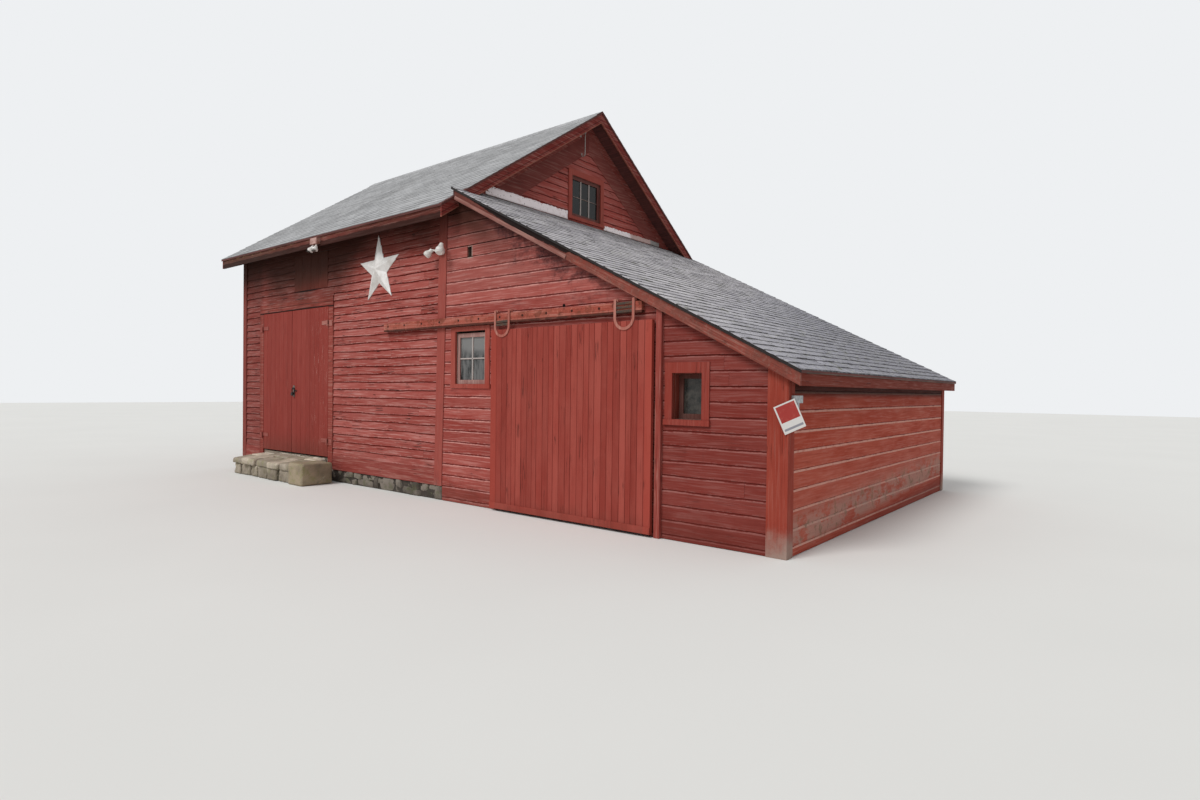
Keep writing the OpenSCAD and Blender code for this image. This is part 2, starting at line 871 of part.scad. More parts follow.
module pane(w, h) {
    y = sash_t / 2;
    box([stile_w, y, stile_w], [w - stile_w, y + glass_t, h - stile_w]);
}

// Puts a sash or pane into each of the three windows: the small one sits deep in the wall
module in_windows() {
    translate([side_win_x, sash_in, side_win_z]) children(0);
    translate([small_win_x, wall_t - sash_t - sash_in, small_win_z]) children(1);
    translate([main_len - sash_in, gable_win_y, gable_win_z]) rotate([0, 0, 90]) children(2);
}

module window_sashes() {
    in_place() color("seashell") in_windows() {
        sash(side_win_w, side_win_h - sash_drop);
        sash(small_win_w, small_win_h);
        sash(gable_win_w, gable_win_h);
    }
}

module window_glass() {
    in_place() color("lightblue") in_windows() {
        pane(side_win_w, side_win_h - sash_drop);
        pane(small_win_w, small_win_h);
        pane(gable_win_w, gable_win_h);
    }
}

// Pressed star, hung a little turned: a thin rim on the wall and ten slopes up to the middle
module wall_star() {
    rim = 20;
    inner = star_r * cos(72) / cos(36);
    points = [for (i = [0 : 9]) let (r = i % 2 == 0 ? star_r : inner, a = 92 + 36 * i) [r * cos(a), r * sin(a)]];
    in_place() color("gainsboro") translate([star_x, 0, star_z]) rotate([90, 0, 0]) union() {
        linear_extrude(rim) polygon(points);
        translate([0, 0, rim]) linear_extrude(star_d - rim, scale = 0.01) polygon(points);
    }
}

// Turns what stands on the ground so that it points from one place to another
module along(lo, hi) {
    d = hi - lo;
    translate(lo) rotate([0, acos(d[2] / norm(d)), atan2(d[1], d[0])]) children();
}

// Lamp: an arm from its base to the back of the head, and a bell with a rounded nose
module lamp(base, back, nose, r) {
    len = norm(back - nose);
    along(base, back) cylinder(r = 11, h = norm(back - base), $fn = 32);
    along(nose, back) rotate_extrude($fn = 48) polygon([
        [0, 0], [r * 0.7, 0], [r, len * 0.14], [r, len * 0.42], [r * 0.62, len * 0.72],
        [r * 0.45, len + 6], [0, len + 6]
    ]);
}

// Two lamps on the pilaster and two under a box on the front fascia
module outdoor_lamps() {
    pil_z = 3240;
    pil_x = main_len - pilaster_w / 2 + pilaster_off(pil_z);
    pil_y = -board_t;
    left_back = [pil_x - 118, pil_y - 85, pil_z + 15];
    right_back = [pil_x + 88, pil_y - 90, pil_z + 65];
    box_w = 190;
    box_x = hatch_x + hatch_w + 60;
    box_y = -main_board_over;
    box_top = main_z(-main_board_over) - main_deck_v - deck_nose - 12;
    box_low = box_top - 88;
    in_place() color("whitesmoke") {
        union() {
            translate([pil_x, pil_y, pil_z]) rotate([90, 0, 0]) cylinder(r = 45, h = 35, $fn = 48);
            lamp([pil_x - 18, pil_y - 22, pil_z], left_back, left_back + [-62, -50, -80], 50);
            lamp([pil_x + 18, pil_y - 22, pil_z + 5], right_back, right_back + [30, -60, -128], 58);
        }
        union() {
            box([box_x, box_y - 60, box_low], [box_x + box_w, box_y, box_top]);
            for (s = [-1, 1]) {
                base = [box_x + 95 + s * 48, box_y - 30, box_low + 10];
                back = base + [s * 4, -8, -48];
                lamp(base, back, back + [s * 20 - 10, -32, -72], 45);
            }
        }
    }
}

module outlet_box() {
    in_place() color("silver") union() {
        box([full_len + board_t, 30, outlet_top - 65], [full_len + board_t + 70, 110, outlet_top]);
        box([full_len + board_t, 48, outlet_top - 133], [full_len + board_t + 45, 92, outlet_top - 64]);
    }
}

// Bare plate that leans on the corner of the lean-to, hung by one corner from a nail
module hanging_sign() {
    turn = 39;
    reach = 47;
    x0 = full_len + board_t;
    in_place() color("firebrick") {
        translate([x0 + reach * cos(turn), -board_t + reach * sin(turn), outlet_top - 24]) rotate([0, 0, turn])
            rotate([0, -24, 0]) box([-sign_w, -3 - seat_gap, -sign_h], [0, -seat_gap, 0]);
        translate([x0, 2, outlet_top - 50]) rotate([0, 90, 0]) cylinder(r = 3, h = 50, $fn = 24);
    }
}

// Iron bracket on the frieze under the peak, with a long hook hanging from it
module gable_hook() {
    x = main_len + trim_t;
    y = ridge_y - 220;
    z = main_z(y) - main_under_v - frieze_h / 2;
    drop = 330;
    bend = 35;
    in_place() color("black") union() {
        box([x, y - 20, z - 40], [x + 8, y + 20, z + 40]);
        box([x, y - 9, z - 9], [x + 120, y + 9, z + 9]);
        translate([x + 105, y, z - drop]) cylinder(r = 7, h = drop, $fn = 32);
        translate([x + 105 - bend, y, z - drop]) rotate([-90, 0, 0])
            rotate_extrude(angle = 220, $fn = 64) translate([bend, 0]) circle(r = 7, $fn = 32);
    }
}

foundation_wall();
floor_joists();
main_floor();
door_step();
door_sill();
front_wall_left();
front_wall_head();
front_wall_right();
left_gable_wall();
back_wall();
right_gable_wall();
lean_front_left();
lean_front_head();
lean_front_right();
lean_end_wall();
lean_back_wall();
main_roof_front();
main_roof_back();
lean_roof();
main_rake_boards();
main_eave_fascias();
gable_friezes();
lean_rake_boards();
lean_eave_fascia();
gable_flashing();
corner_boards();
skirt_boards();
door_casing();
left_door_leaf();
right_door_leaf();
left_door_straps();
right_door_straps();
door_pintles();
door_latch();
loft_hatch();
sliding_door();
door_hangers();
door_track();
door_post();
window_casings();
window_sashes();
window_glass();
wall_star();
outdoor_lamps();
outlet_box();
hanging_sign();
gable_hook();
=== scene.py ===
import math
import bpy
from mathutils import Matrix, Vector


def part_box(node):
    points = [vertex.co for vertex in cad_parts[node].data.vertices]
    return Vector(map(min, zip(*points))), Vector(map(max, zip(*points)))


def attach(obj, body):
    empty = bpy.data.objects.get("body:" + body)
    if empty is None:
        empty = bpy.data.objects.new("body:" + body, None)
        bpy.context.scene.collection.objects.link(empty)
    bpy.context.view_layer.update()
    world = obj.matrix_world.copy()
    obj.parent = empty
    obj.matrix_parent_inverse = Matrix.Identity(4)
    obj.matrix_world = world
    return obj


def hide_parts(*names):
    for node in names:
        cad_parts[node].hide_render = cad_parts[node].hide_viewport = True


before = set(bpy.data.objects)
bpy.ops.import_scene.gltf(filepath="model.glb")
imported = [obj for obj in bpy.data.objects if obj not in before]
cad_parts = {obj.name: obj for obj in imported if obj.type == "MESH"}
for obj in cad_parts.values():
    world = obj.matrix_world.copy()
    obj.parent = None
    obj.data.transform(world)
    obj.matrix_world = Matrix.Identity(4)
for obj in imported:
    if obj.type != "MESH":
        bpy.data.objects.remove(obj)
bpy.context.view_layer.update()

from types import SimpleNamespace
import bpy
import numpy as np
from mathutils import Matrix

# Foundation of the main block: low rubble wall of field stones, split and laid by hand in
# lime mortar. Two uneven courses of stones stand a little proud of the mortar.
corner = np.array(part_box("foundation_wall")[0])


def span_of(node):
    """Lowest and highest corner of a CAD node, measured from the front left corner of the barn."""
    low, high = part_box(node)
    return np.array(low) - corner, np.array(high) - corner


def dice(count, seed):
    """Repeatable random numbers between 0 and 1."""
    return np.random.default_rng(seed).random(count)


def waves(x, seed, long=1.0):
    """Sum of four sines of x with wavelengths long, long/2.1, long/4.3 and long/8.7, whose
    phases come from the seed; runs from about -1 to 1."""
    total = 0.0
    for i, (part, share) in enumerate(((1.0, 0.5), (2.1, 0.25), (4.3, 0.15), (8.7, 0.1))):
        phase = np.modf(np.abs(np.sin(seed * 12.9898 + i * 78.233)) * 43758.5453)[0]
        total = total + share * np.sin(2 * np.pi * (x * part / long + phase))
    return total


def lumps(points, size, seed):
    """Sum of twelve sines along random directions in space, with wavelengths from size down
    to size/5; one value for each point, from about -1 to 1."""
    rng = np.random.default_rng(seed)
    ways = rng.normal(size=(3, 12))
    ways /= np.linalg.norm(ways, axis=0)
    pitch = np.geomspace(1, 5, 12)
    angle = points @ (ways * pitch * 2 * np.pi / size) + rng.random(12) * 6.28
    return (np.sin(angle) / pitch).sum(-1) / (1 / pitch).sum() * 2.2


def tubes(name, groups, material, body="barn", smooth=False):
    """Makes one mesh of closed tubes. Each group is (rings, edge): rings[tube, station, point]
    are joined station to station by quads and closed by the end rings, and a tube whose
    signed volume is negative gets its rings turned round. tone is one random value a tube."""
    verts, loops, sizes, tones, edges, start = [], [], [], [], [], 0
    for g, (rings, edge) in enumerate(groups):
        rings = np.array(rings, float)
        edge = np.array(np.broadcast_to(edge, rings.shape[:3]), float)
        follow = np.roll(rings, -1, 2)
        a, b, c, d = rings[:, :-1], follow[:, :-1], follow[:, 1:], rings[:, 1:]
        volume = ((a * np.cross(b, c)).sum(-1) + (a * np.cross(c, d)).sum(-1)).sum((1, 2))
        for end, sign in ((0, -1), (-1, 1)):
            middle = rings[:, end].mean(1, keepdims=True)
            volume += sign * (middle * np.cross(rings[:, end], follow[:, end])).sum((1, 2))
        for held in (rings, edge):
            held[volume < 0] = held[volume < 0][:, :, ::-1]
        count, stations, points = edge.shape
        index = np.arange(edge.size).reshape(edge.shape) + start
        ahead = np.roll(index, -1, 2)
        quads = np.stack([index[:, :-1], ahead[:, :-1], ahead[:, 1:], index[:, 1:]], -1)
        loops += [quads.ravel(), index[:, 0, ::-1].ravel(), index[:, -1].ravel()]
        sizes += [np.full(quads.size // 4, 4), np.full(2 * count, points)]
        verts.append(rings.reshape(-1, 3) + corner)
        tones.append(np.repeat(dice(count, 11 + g + len(name)), stations * points))
        edges.append(edge.ravel())
        start += edge.size
    verts, loops, sizes = np.concatenate(verts), np.concatenate(loops), np.concatenate(sizes)
    mesh = bpy.data.meshes.new(name)
    mesh.vertices.add(len(verts))
    mesh.vertices.foreach_set("co", verts.ravel().astype(np.float32))
    mesh.loops.add(len(loops))
    mesh.loops.foreach_set("vertex_index", loops.astype(np.int32))
    mesh.polygons.add(len(sizes))
    mesh.polygons.foreach_set("loop_start", (np.cumsum(sizes) - sizes).astype(np.int32))
    mesh.polygons.foreach_set("loop_total", sizes.astype(np.int32))
    for label, values in (("tone", tones), ("edge", edges)):
        held = mesh.attributes.new(label, "FLOAT", "POINT")
        held.data.foreach_set("value", np.concatenate(values).astype(np.float32))
    mesh.update(calc_edges=True)
    mesh.polygons.foreach_set("use_smooth", np.full(len(sizes), smooth))
    mesh.validate()
    mesh.materials.append(material)
    piece = bpy.data.objects.new(name, mesh)
    bpy.context.scene.collection.objects.link(piece)
    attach(piece, body)
    return piece


def give(nodes, material):
    """Puts one material on whole CAD nodes."""
    for node in nodes:
        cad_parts[node].data.materials.clear()
        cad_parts[node].data.materials.append(material)


def tint(code):
    """Linear colour of a hexadecimal display colour; anything else is passed on as it is."""
    if not isinstance(code, str):
        return code
    parts = np.array([int(code[i:i + 2], 16) for i in (0, 2, 4)]) / 255
    return (*np.where(parts > 0.04045, ((parts + 0.055) / 1.055) ** 2.4, parts / 12.92), 1.0)


def feed(node, inputs):
    """Joins inputs of a shader node to Values and sets plain values and colours on the others."""
    for key, value in inputs.items():
        if isinstance(value, Value):
            node.id_data.links.new(value.socket, node.inputs[key])
        else:
            node.inputs[key].default_value = tint(value)


def wire(tree, kind, inputs, take=0, **settings):
    """Adds a shader node and returns the output to take from it, or all of them for None."""
    made = tree.nodes.new("ShaderNode" + kind)
    for key, value in settings.items():
        setattr(made, key, value)
    feed(made, inputs)
    return [Value(one) for one in made.outputs] if take is None else Value(made.outputs[take])


def reckon(operation, a, b=0.0):
    """One maths node on two Values or numbers."""
    tree = a.tree if isinstance(a, Value) else b.tree
    return wire(tree, "Math", {0: a, 1: b}, operation=operation)


class Value:
    """A socket of a shader tree that can be reckoned with; every step adds a node."""
    # a numpy number on the left leaves the step to this class
    __array_ufunc__ = None

    __add__ = lambda self, other: reckon("ADD", self, other)
    __sub__ = lambda self, other: reckon("SUBTRACT", self, other)
    __rsub__ = lambda self, other: reckon("SUBTRACT", other, self)
    __mul__ = lambda self, other: reckon("MULTIPLY", self, other)
    __truediv__ = lambda self, other: reckon("DIVIDE", self, other)
    __lt__ = lambda self, other: reckon("LESS_THAN", self, other)
    __gt__ = lambda self, other: reckon("GREATER_THAN", self, other)
    __abs__ = lambda self: reckon("ABSOLUTE", self)

    def __init__(self, socket):
        self.socket, self.tree = socket, socket.id_data

    def ease(self, low, high, out_low=0.0, out_high=1.0):
        """Eased from out_low to out_high as the value goes from low to high."""
        ends = {"Value": self, "From Min": low, "From Max": high, "To Min": out_low, "To Max": out_high}
        return wire(self.tree, "MapRange", ends, interpolation_type="SMOOTHSTEP")

    def moved(self, operation, by):
        """A vector moved or stretched by another."""
        return wire(self.tree, "VectorMath", {0: self, 1: by}, operation=operation)

    def turned(self, angles):
        """A vector turned by three angles."""
        return wire(self.tree, "Mapping", {"Vector": self, "Rotation": angles})

    def parts(self):
        """The x, y and z of a vector."""
        return wire(self.tree, "SeparateXYZ", {0: self}, take=None)

    def cloud(self, scale, detail=3.0, rough=0.55, stretch=None):
        """Noise from about 0 to 1 at a place, which may be stretched first."""
        place = self.moved("MULTIPLY", stretch) if stretch else self
        ends = {"Vector": place, "Scale": scale, "Detail": detail, "Roughness": rough}
        return wire(self.tree, "TexNoise", ends)


def mix(share, under, over):
    """A colour with another laid over it by a share."""
    return wire(share.tree, "Mix", {0: share, 6: under, 7: over}, take=2, data_type="RGBA")


def named(sockets):
    """Values of sockets, each under the name of its socket."""
    return SimpleNamespace(**{one.name: Value(one) for one in sockets})


def recipe(name, gives, **takes):
    """Starts a shader node group. gives names its results, takes its inputs by kind: v for
    vectors, c for colours, f for numbers. Returns it, its inputs and its last node."""
    tree = bpy.data.node_groups.new(name, "ShaderNodeTree")
    kinds = {"v": "NodeSocketVector", "c": "NodeSocketColor", "f": "NodeSocketFloat"}
    for kind, titles in takes.items():
        for title in titles.split():
            tree.interface.new_socket(title, in_out="INPUT", socket_type=kinds[kind])
    for title in gives.split():
        kind = "c" if title == "colour" else "f"
        tree.interface.new_socket(title, in_out="OUTPUT", socket_type=kinds[kind])
    return tree, named(tree.nodes.new("NodeGroupInput").outputs), tree.nodes.new("NodeGroupOutput")


def stir(tree, group, **inputs):
    """Places a shader node group in a tree and returns its results."""
    made = tree.nodes.new("ShaderNodeGroup")
    made.node_tree = group
    feed(made, inputs)
    return named(made.outputs)


class Surface:
    """A material in the making: place is the object coordinate, x, y and z are measured from
    the front left corner of the barn."""

    def __init__(self, name):
        self.made = bpy.data.materials.new(name)
        self.made.use_nodes = True
        self.tree = self.made.node_tree
        self.place = wire(self.tree, "TexCoord", {}, take="Object")
        self.x, self.y, self.z = self.place.moved("SUBTRACT", tuple(corner)).parts()
        self.cloud = self.place.cloud

    def mark(self, label):
        """Attribute that a mesh of tubes carries."""
        return wire(self.tree, "Attribute", {}, take="Fac", attribute_name=label)

    def finish(self, colour, rough, height=None, deep=0.002, **own):
        """Feeds the shader with a colour, a roughness, a bump and constants of its own."""
        inputs = {"Base Color": colour, "Roughness": rough}
        if height is not None:
            inputs["Normal"] = wire(self.tree, "Bump", {"Height": height, "Strength": 0.8, "Distance": deep})
        sockets = {"metal": "Metallic", "shine": "Specular IOR Level", "clear": "Transmission Weight"}
        inputs |= {sockets[key]: value for key, value in own.items()}
        feed(self.tree.nodes["Principled BSDF"], inputs)
        return self.made


# stone skin: three sizes of noise give grain, dark pores and moss
stone_skin, given, out = recipe("stone_skin", "colour rough height", v="place", c="light dark moss",
                                f="tone mossy")
broad, fine = given.place.cloud(5.0, 4.0), given.place.cloud(60.0, 4.0, 0.7)
colour = mix((broad * 0.7 + given.tone * 0.35).ease(0.3, 0.75), given.dark, given.light)
colour = mix(fine.ease(0.5, 0.75, 0, 0.5), colour, given.dark)
colour = mix(given.place.cloud(9.0, 5.0, 0.7).ease(0.5, 0.62) * given.mossy, colour, given.moss)
feed(out, {"colour": colour, "rough": fine.ease(0.2, 0.8, 0.95, 0.75), "height": fine + broad * 2.0})


def stone_of(name, light, dark, moss, mossy, deep=0.006, more=None):
    """Material of one kind of stone; more changes the colour before it reaches the shader."""
    at = Surface(name)
    got = stir(at.tree, stone_skin, place=at.place, tone=at.mark("tone"), light=light, dark=dark,
               moss=moss, mossy=mossy)
    return at.finish(more(at, got.colour) if more else got.colour, got.rough, got.height, deep)


def stone_rings(starts, ends, low, high, out_by, seed, face, stations=11, points=18):
    """Rough blocks in a wall face: a superellipse of height and depth is carried along each
    stone, shrinks toward both ends, leans by a share of its length and is dented by lumps."""
    starts, ends, low, high, out_by = (v[:, None, None] for v in (starts, ends, low, high, out_by))
    bedded, proudest = 0.05, 0.03
    s = np.linspace(0.01, 0.99, stations)[None, :, None]
    angle = np.linspace(0, 2 * np.pi, points, endpoint=False)[None, None, :]
    blunt = 5 + 9 * dice(len(starts), seed + 5)[:, None, None]
    width = (1 - np.abs(2 * s - 1) ** blunt) ** 0.45
    squared = lambda v: np.sign(v) * np.abs(v) ** 0.36
    tilt = 0.03 * (dice(len(starts), seed + 6)[:, None, None] - 0.5) * (2 * s - 1)
    along = starts + (ends - starts) * s + 0 * angle
    z = (low + high) / 2 + (high - low) / 2 * width * squared(np.sin(angle)) + tilt
    d = out_by - bedded + bedded * width * squared(np.cos(angle))
    rings = np.stack([along, z, d], -1)
    rings = rings + 0.016 * lumps(rings, 0.17, seed)[..., None] * np.array([0.5, 0.6, 1.0])
    along, z, d = rings[..., 0], np.clip(rings[..., 1], 0.0, stone_top), np.minimum(rings[..., 2], proudest)
    return face(along, z, d), 0.0


def wall_face(axis, way, start=0.0):
    """Rule that turns a length along a wall, a height and a distance out of the wall into a
    point. The wall faces along axis 0 or 1, forward or backward, and stands at start."""
    def put(along, height, out_by):
        out_by = start + way * out_by
        return np.stack([along, out_by, height] if axis else [out_by, along, height], -1)
    return put


front, left = wall_face(1, -1), wall_face(0, -1)
lo, hi = span_of("foundation_wall")
joint, uneven, shortest, longer = 0.003, 0.045, 0.13, 0.4
stone_top, tall_stone, first_bed, second_bed = 0.184, 0.18, 0.075, 0.07
stones = []
for n, (face, reach) in enumerate(((front, hi[0]), (left, hi[1]), (wall_face(1, 1, hi[1]), hi[0]))):
    for course in (0, 1):
        cuts = np.cumsum(shortest + longer * dice(40, 3 * n + course) ** 1.5)
        cuts = np.concatenate([[0.0], cuts[cuts < reach - 0.12], [reach]])
        kind, jag, proud = (dice(len(cuts) - 1, seed + n + course) for seed in (50, 60, 90))
        if course:
            low, high = second_bed + uneven * jag, stone_top + 0 * jag
        else:
            low, high = 0 * jag, np.where(kind < 0.3, tall_stone, first_bed + uneven * jag)
        ends = cuts[:-1] + joint, cuts[1:] - joint
        stones.append(stone_rings(*ends, low, high, -0.004 + 0.03 * proud, n, face))
tubes("foundation_stones", stones, stone_of("field_stone", "81776c", "40382f", "4f5330", 0.45),
      smooth=True)
# the mortar is coloured earth-dark, with painted shade in the gaps between the stones
give(["foundation_wall"], stone_of("earth_mortar_and_gap_shade", "5f554a", "332b24", "3d4028", 0.3, 0.004))

# Step in front of the hinged doors: rubble stones packed with earth under flat split slabs,
# and a squared granite block at the right end. Their tops fall away from the doors and have
# moss and trodden earth on them.
lo, hi = span_of("door_step")
step_front, block_x, block_back, block_top = lo[1], hi[0] - 0.43, -0.148, hi[2] - 0.015


def slab_rings(x0, x1, y0, y1, z0, top_back, top_front, seed, rough=0.012, stations=26, points=44):
    """A split stone: a four-cornered section with chipped corners, resampled to even steps, is
    carried across from x0 to x1, drawn in over the last 25 mm at both ends and dented
    inward by long and short lumps."""
    chip, drawn = 0.014, 0.025
    section = np.array([(y1, z0), (y1, top_back - chip), (y1 - chip, top_back),
                        (y0 + chip * 1.6, top_front), (y0, top_front - chip * 1.6), (y0, z0), (y1, z0)])
    run = np.concatenate([[0], np.cumsum(np.linalg.norm(np.diff(section, axis=0), axis=1))])
    steps = np.linspace(0, run[-1], points, endpoint=False)
    y, z = (np.interp(steps, run, section[:, k]) for k in (0, 1))
    s = np.concatenate([[0, 0.006, 0.025], np.linspace(0.06, 0.94, stations - 6), [0.975, 0.994, 1]])[:, None]
    inset = 0.02 * np.clip(1 - np.minimum(s, 1 - s) * (x1 - x0) / drawn, 0, 1) ** 2
    middle = np.array([(x0 + x1) / 2, (y0 + y1) / 2, (z0 + top_back) / 2])
    ring = np.stack([x0 + (x1 - x0) * s + 0 * y, y - inset * np.sign(y - middle[1]),
                     z - inset * np.sign(z - middle[2])], -1)
    away = (ring - middle) / np.linalg.norm(ring - middle, axis=-1, keepdims=True)
    dent = np.clip(0.5 + 0.35 * lumps(ring, 0.3, seed) + 0.2 * lumps(ring, 0.07, seed + 1), 0, 1.4)
    ring = ring - away * rough * dent[..., None] * np.array([1.2, 1.0, 0.8])
    return np.clip(ring, [x0, -np.inf, 0], [x1, np.inf, np.inf])[None], 0.0


cuts = lo[0] + 0.03 + (block_x - lo[0] - 0.04) * np.array([0, 0.13, 0.31, 0.44, 0.62, 0.8, 1.0])
pads = []
for n, (x0, x1) in enumerate(zip(cuts[:-1], cuts[1:])):
    r = dice(4, 40 + n)
    pads.append(slab_rings(x0 + 0.008, x1 - 0.008, step_front + 0.01 + 0.05 * r[0], step_front + 0.34, 0,
                           0.215, 0.2 - 0.02 * r[1], 20 + n, 0.03))
pads.append(slab_rings(lo[0] + 0.02, lo[0] + 0.3, -0.31, -0.02, 0, 0.24, 0.23, 28, 0.03))
# flat slabs: left, right, front, back, height at the back and at the front
flags = ((0.0, 0.47, -0.31, 0.0, 0.31, 0.3), (0.5, 1.2, -0.26, 0.0, 0.338, 0.322),
         (1.22, 1.6, -0.33, 0.0, 0.33, 0.316), (1.62, 1.965, -0.22, 0.0, 0.34, 0.326),
         (0.02, 0.36, -0.61, -0.29, 0.295, 0.262), (0.37, 0.83, -0.63, -0.25, 0.318, 0.285),
         (0.85, 1.26, -0.6, -0.32, 0.312, 0.28), (1.27, 1.64, -0.635, -0.3, 0.309, 0.276),
         (1.65, 1.96, -0.62, -0.21, 0.318, 0.29))
for n, (x0, x1, y0, y1, top_back, top_front) in enumerate(flags):
    pads.append(slab_rings(lo[0] + x0, lo[0] + x1, y0, y1, 0.18, top_back, top_front, 50 + n, 0.013))


def doorway_grit(at, colour):
    """Pale chips of old mortar and husks swept against the doors, and damp soil on the sides."""
    near = (at.y + at.cloud(5.0, 4.0, 0.7) * 0.09).ease(-0.04, -0.01)
    chips = at.cloud(55.0, 3.0, 0.7).ease(0.42, 0.52)
    colour = mix(near * chips * 0.85, colour, "e6dccd")
    colour = mix(at.cloud(3.5, 5.0, 0.7).ease(0.5, 0.68, 0.0, 0.45), colour, "8a7f70")
    return mix(at.z.ease(0.05, 0.27, 0.55, 0.0), colour, "54493a")


slab_stone = stone_of("step_slab", "d6c8b4", "8f8373", "7f7f4c", 0.35, 0.01, doorway_grit)
step_slabs = tubes("step_slabs", pads, slab_stone, smooth=True)
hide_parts("door_step")
block = slab_rings(block_x, hi[0], step_front, block_back, 0, block_top, block_top, 31, 0.01, 24, 56)
granite = stone_of("granite_block", "a09078", "5a5041", "75793c", 0.45, 0.008)
tubes("step_block", [block], granite, smooth=True)

# Floor and framing of the main block: planks on joists, an oak sill in the doorway and
# sheathed walls, all of sawn wood that was never painted and has gone grey-brown.
board_grain, given, out = recipe("board_grain", "streak fade split", v="along", f="tone")
shift = wire(board_grain, "CombineXYZ", {0: given.tone * 31.0, 1: given.tone * 17.0})
moved = given.along.moved("ADD", shift)
crack = abs(moved.cloud(1.3, 1.5, 0.5, (0.8, 26.0, 26.0)) - 0.5).ease(0.006, 0.016, 1.0, 0.0)
feed(out, {"streak": moved.cloud(2.4, 4.0, 0.65, (1.0, 24.0, 24.0)),
           "fade": moved.cloud(1.1, 3.0, 0.6, (1.0, 3.5, 3.5)),
           "split": crack * moved.cloud(2.6, 2.0).ease(0.52, 0.62)})


def grain_along(place, run, tilt=0.0):
    """Turns the place so that the grain runs along its x; tilt is the slope of a rake."""
    if run == "y":
        place = place.turned((0, 0, -math.pi / 2))
    return place.turned((0, math.pi / 2 if run == "z" else tilt, 0))


def bare_wood(name, run, light, dark, seam=0.0):
    """Material of unpainted boards; seam is the width of planks along x whose seams show."""
    at = Surface(name)
    tone = 0.0
    if seam:
        count = (at.y + corner[1]) / seam
        tone = wire(at.tree, "TexWhiteNoise", {"W": reckon("FLOOR", count)}, noise_dimensions="1D")
    got = stir(at.tree, board_grain, along=grain_along(at.place, run), tone=tone)
    colour = mix(got.streak.ease(0.3, 0.7), dark, light)
    colour = mix(got.fade.ease(0.35, 0.75, 0, 0.6), colour, dark)
    height = got.streak - got.split
    if seam:
        line = abs(reckon("FRACT", count) - 0.5).ease(0.48, 0.492)
        colour = mix(line * 0.85, colour, "1d1712")
        height = height - line * 3.0
    return at.finish(colour, got.streak.ease(0.2, 0.8, 0.9, 0.7), height)


give(["main_floor"], bare_wood("floor_planks", "x", "8b7862", "54453a", 0.19))
give(["floor_joists"], bare_wood("joist_wood", "y", "7d6c58", "4a3d33"))
give(["door_sill"], bare_wood("sill_wood", "x", "b3a696", "75685a"))
give(["front_wall_left", "front_wall_head", "front_wall_right", "back_wall", "lean_front_left",
      "lean_front_head", "lean_front_right", "lean_back_wall"],
     bare_wood("sheathing_long", "x", "77665a", "46382f"))
give(["left_gable_wall", "right_gable_wall", "lean_end_wall"],
     bare_wood("sheathing_cross", "y", "77665a", "46382f"))

# Face boards: skirt boards, corner boards, pilaster, door casing and friezes. Sawn pine
# boards nailed flat over the sheathing, brighter red than the clapboards, rotted at the foot.
old_paint, given, out = recipe("old_paint", "colour rough height", v="along place", c="paint faded dark pale",
                           f="tone edge fade wear splits arris line vary")
grain = stir(old_paint, board_grain, along=given.along, tone=given.tone)
apart = (given.tone - 0.5) * given.vary
colour = mix((grain.fade + apart).ease(0.3, 0.75) * given.fade, given.paint, given.faded)
colour = mix(grain.streak.ease(0.52, 0.75, 0, 0.4), colour, given.dark)
colour = mix(grain.streak.ease(0.34, 0.52, 1.0, 0.0) * given.wear, colour, given.pale)
chalk = given.place.cloud(7.0, 5.0, 0.7)
colour = mix(chalk.ease(0.5, 0.75, 0, 0.35), colour, given.faded)
colour = wire(old_paint, "HueSaturation", {"Value": apart + 1.0, "Color": colour})
# pale along the lower edge: worn paint and a painted highlight; a pale band just under the board
# above is a painted highlight on the cove, and the dark band at the top is painted shadow under the
# board above; black in the splits
nick = given.place.cloud(16.0, 3.0, 0.65, (1.0, 1.0, 2.0))
colour = mix(given.edge.ease(0.02, 0.14, 1.0, 0.0) * nick.ease(0.5, 0.6) * given.wear, colour, given.pale)
# painted highlight along the cove just under the board above
band = given.edge.ease(0.765, 0.8) * given.edge.ease(0.85, 0.885, 1.0, 0.0)
colour = mix(band * given.arris * nick.ease(0.3, 0.55, 0.55, 1.0), colour, given.pale)
# painted shadow under the butt of the board above
wander = given.place.cloud(4.5, 4.0, 0.7, (1.0, 1.0, 0.4)) - 0.5
start = reckon("MINIMUM", given.line + wander * 0.22, 0.87)
colour = mix(given.edge.ease(start, start * 0.6 + 0.36, 0.0, 0.92), colour, "66160f")
split = grain.split * given.splits
feed(out, {"colour": mix(split, colour, "1d1110"), "rough": grain.streak.ease(0.2, 0.8, 0.62, 0.86),
           "height": grain.streak * 0.5 + chalk * 0.5 - split * 2.0})


def painted(name, run, paint, faded, dark, tilt=0.0, foot=None, fixed=None, more=None, **how):
    """Material of painted boards whose grain runs one way. foot is (height, colour, share) of
    rot or splashed dirt near the ground; fixed is the tone of boards that carry none; more
    changes the colour before it reaches the shader; how sets inputs of the old paint."""
    at = Surface(name)
    tone, edge = (at.mark("tone"), at.mark("edge")) if fixed is None else (fixed, 0.5)
    usual = {"pale": "c9a193", "fade": 0.8, "wear": 0.25, "splits": 0.6, "arris": 0.0, "line": 0.76,
             "vary": 0.14}
    got = stir(at.tree, old_paint, along=grain_along(at.place, run, tilt), place=at.place,
               tone=tone, edge=edge, paint=paint, faded=faded, dark=dark, **(usual | how))
    colour = got.colour
    if foot:
        high, dirt, share = foot
        ragged = at.z - at.cloud(5.0, 5.0, 0.7) * (high * 1.3)
        colour = mix(ragged.ease(-high * 0.75, high * 0.2, share, 0.0), colour, dirt)
    if more:
        colour = more(at, colour)
    return at.finish(colour, got.rough, got.height, shine=0.1)


give(["skirt_boards"], painted("skirt_paint", "x", "873b34", "934e47", "4d2420", fixed=0.3,
                               foot=(0.27, "50382f", 0.8)))


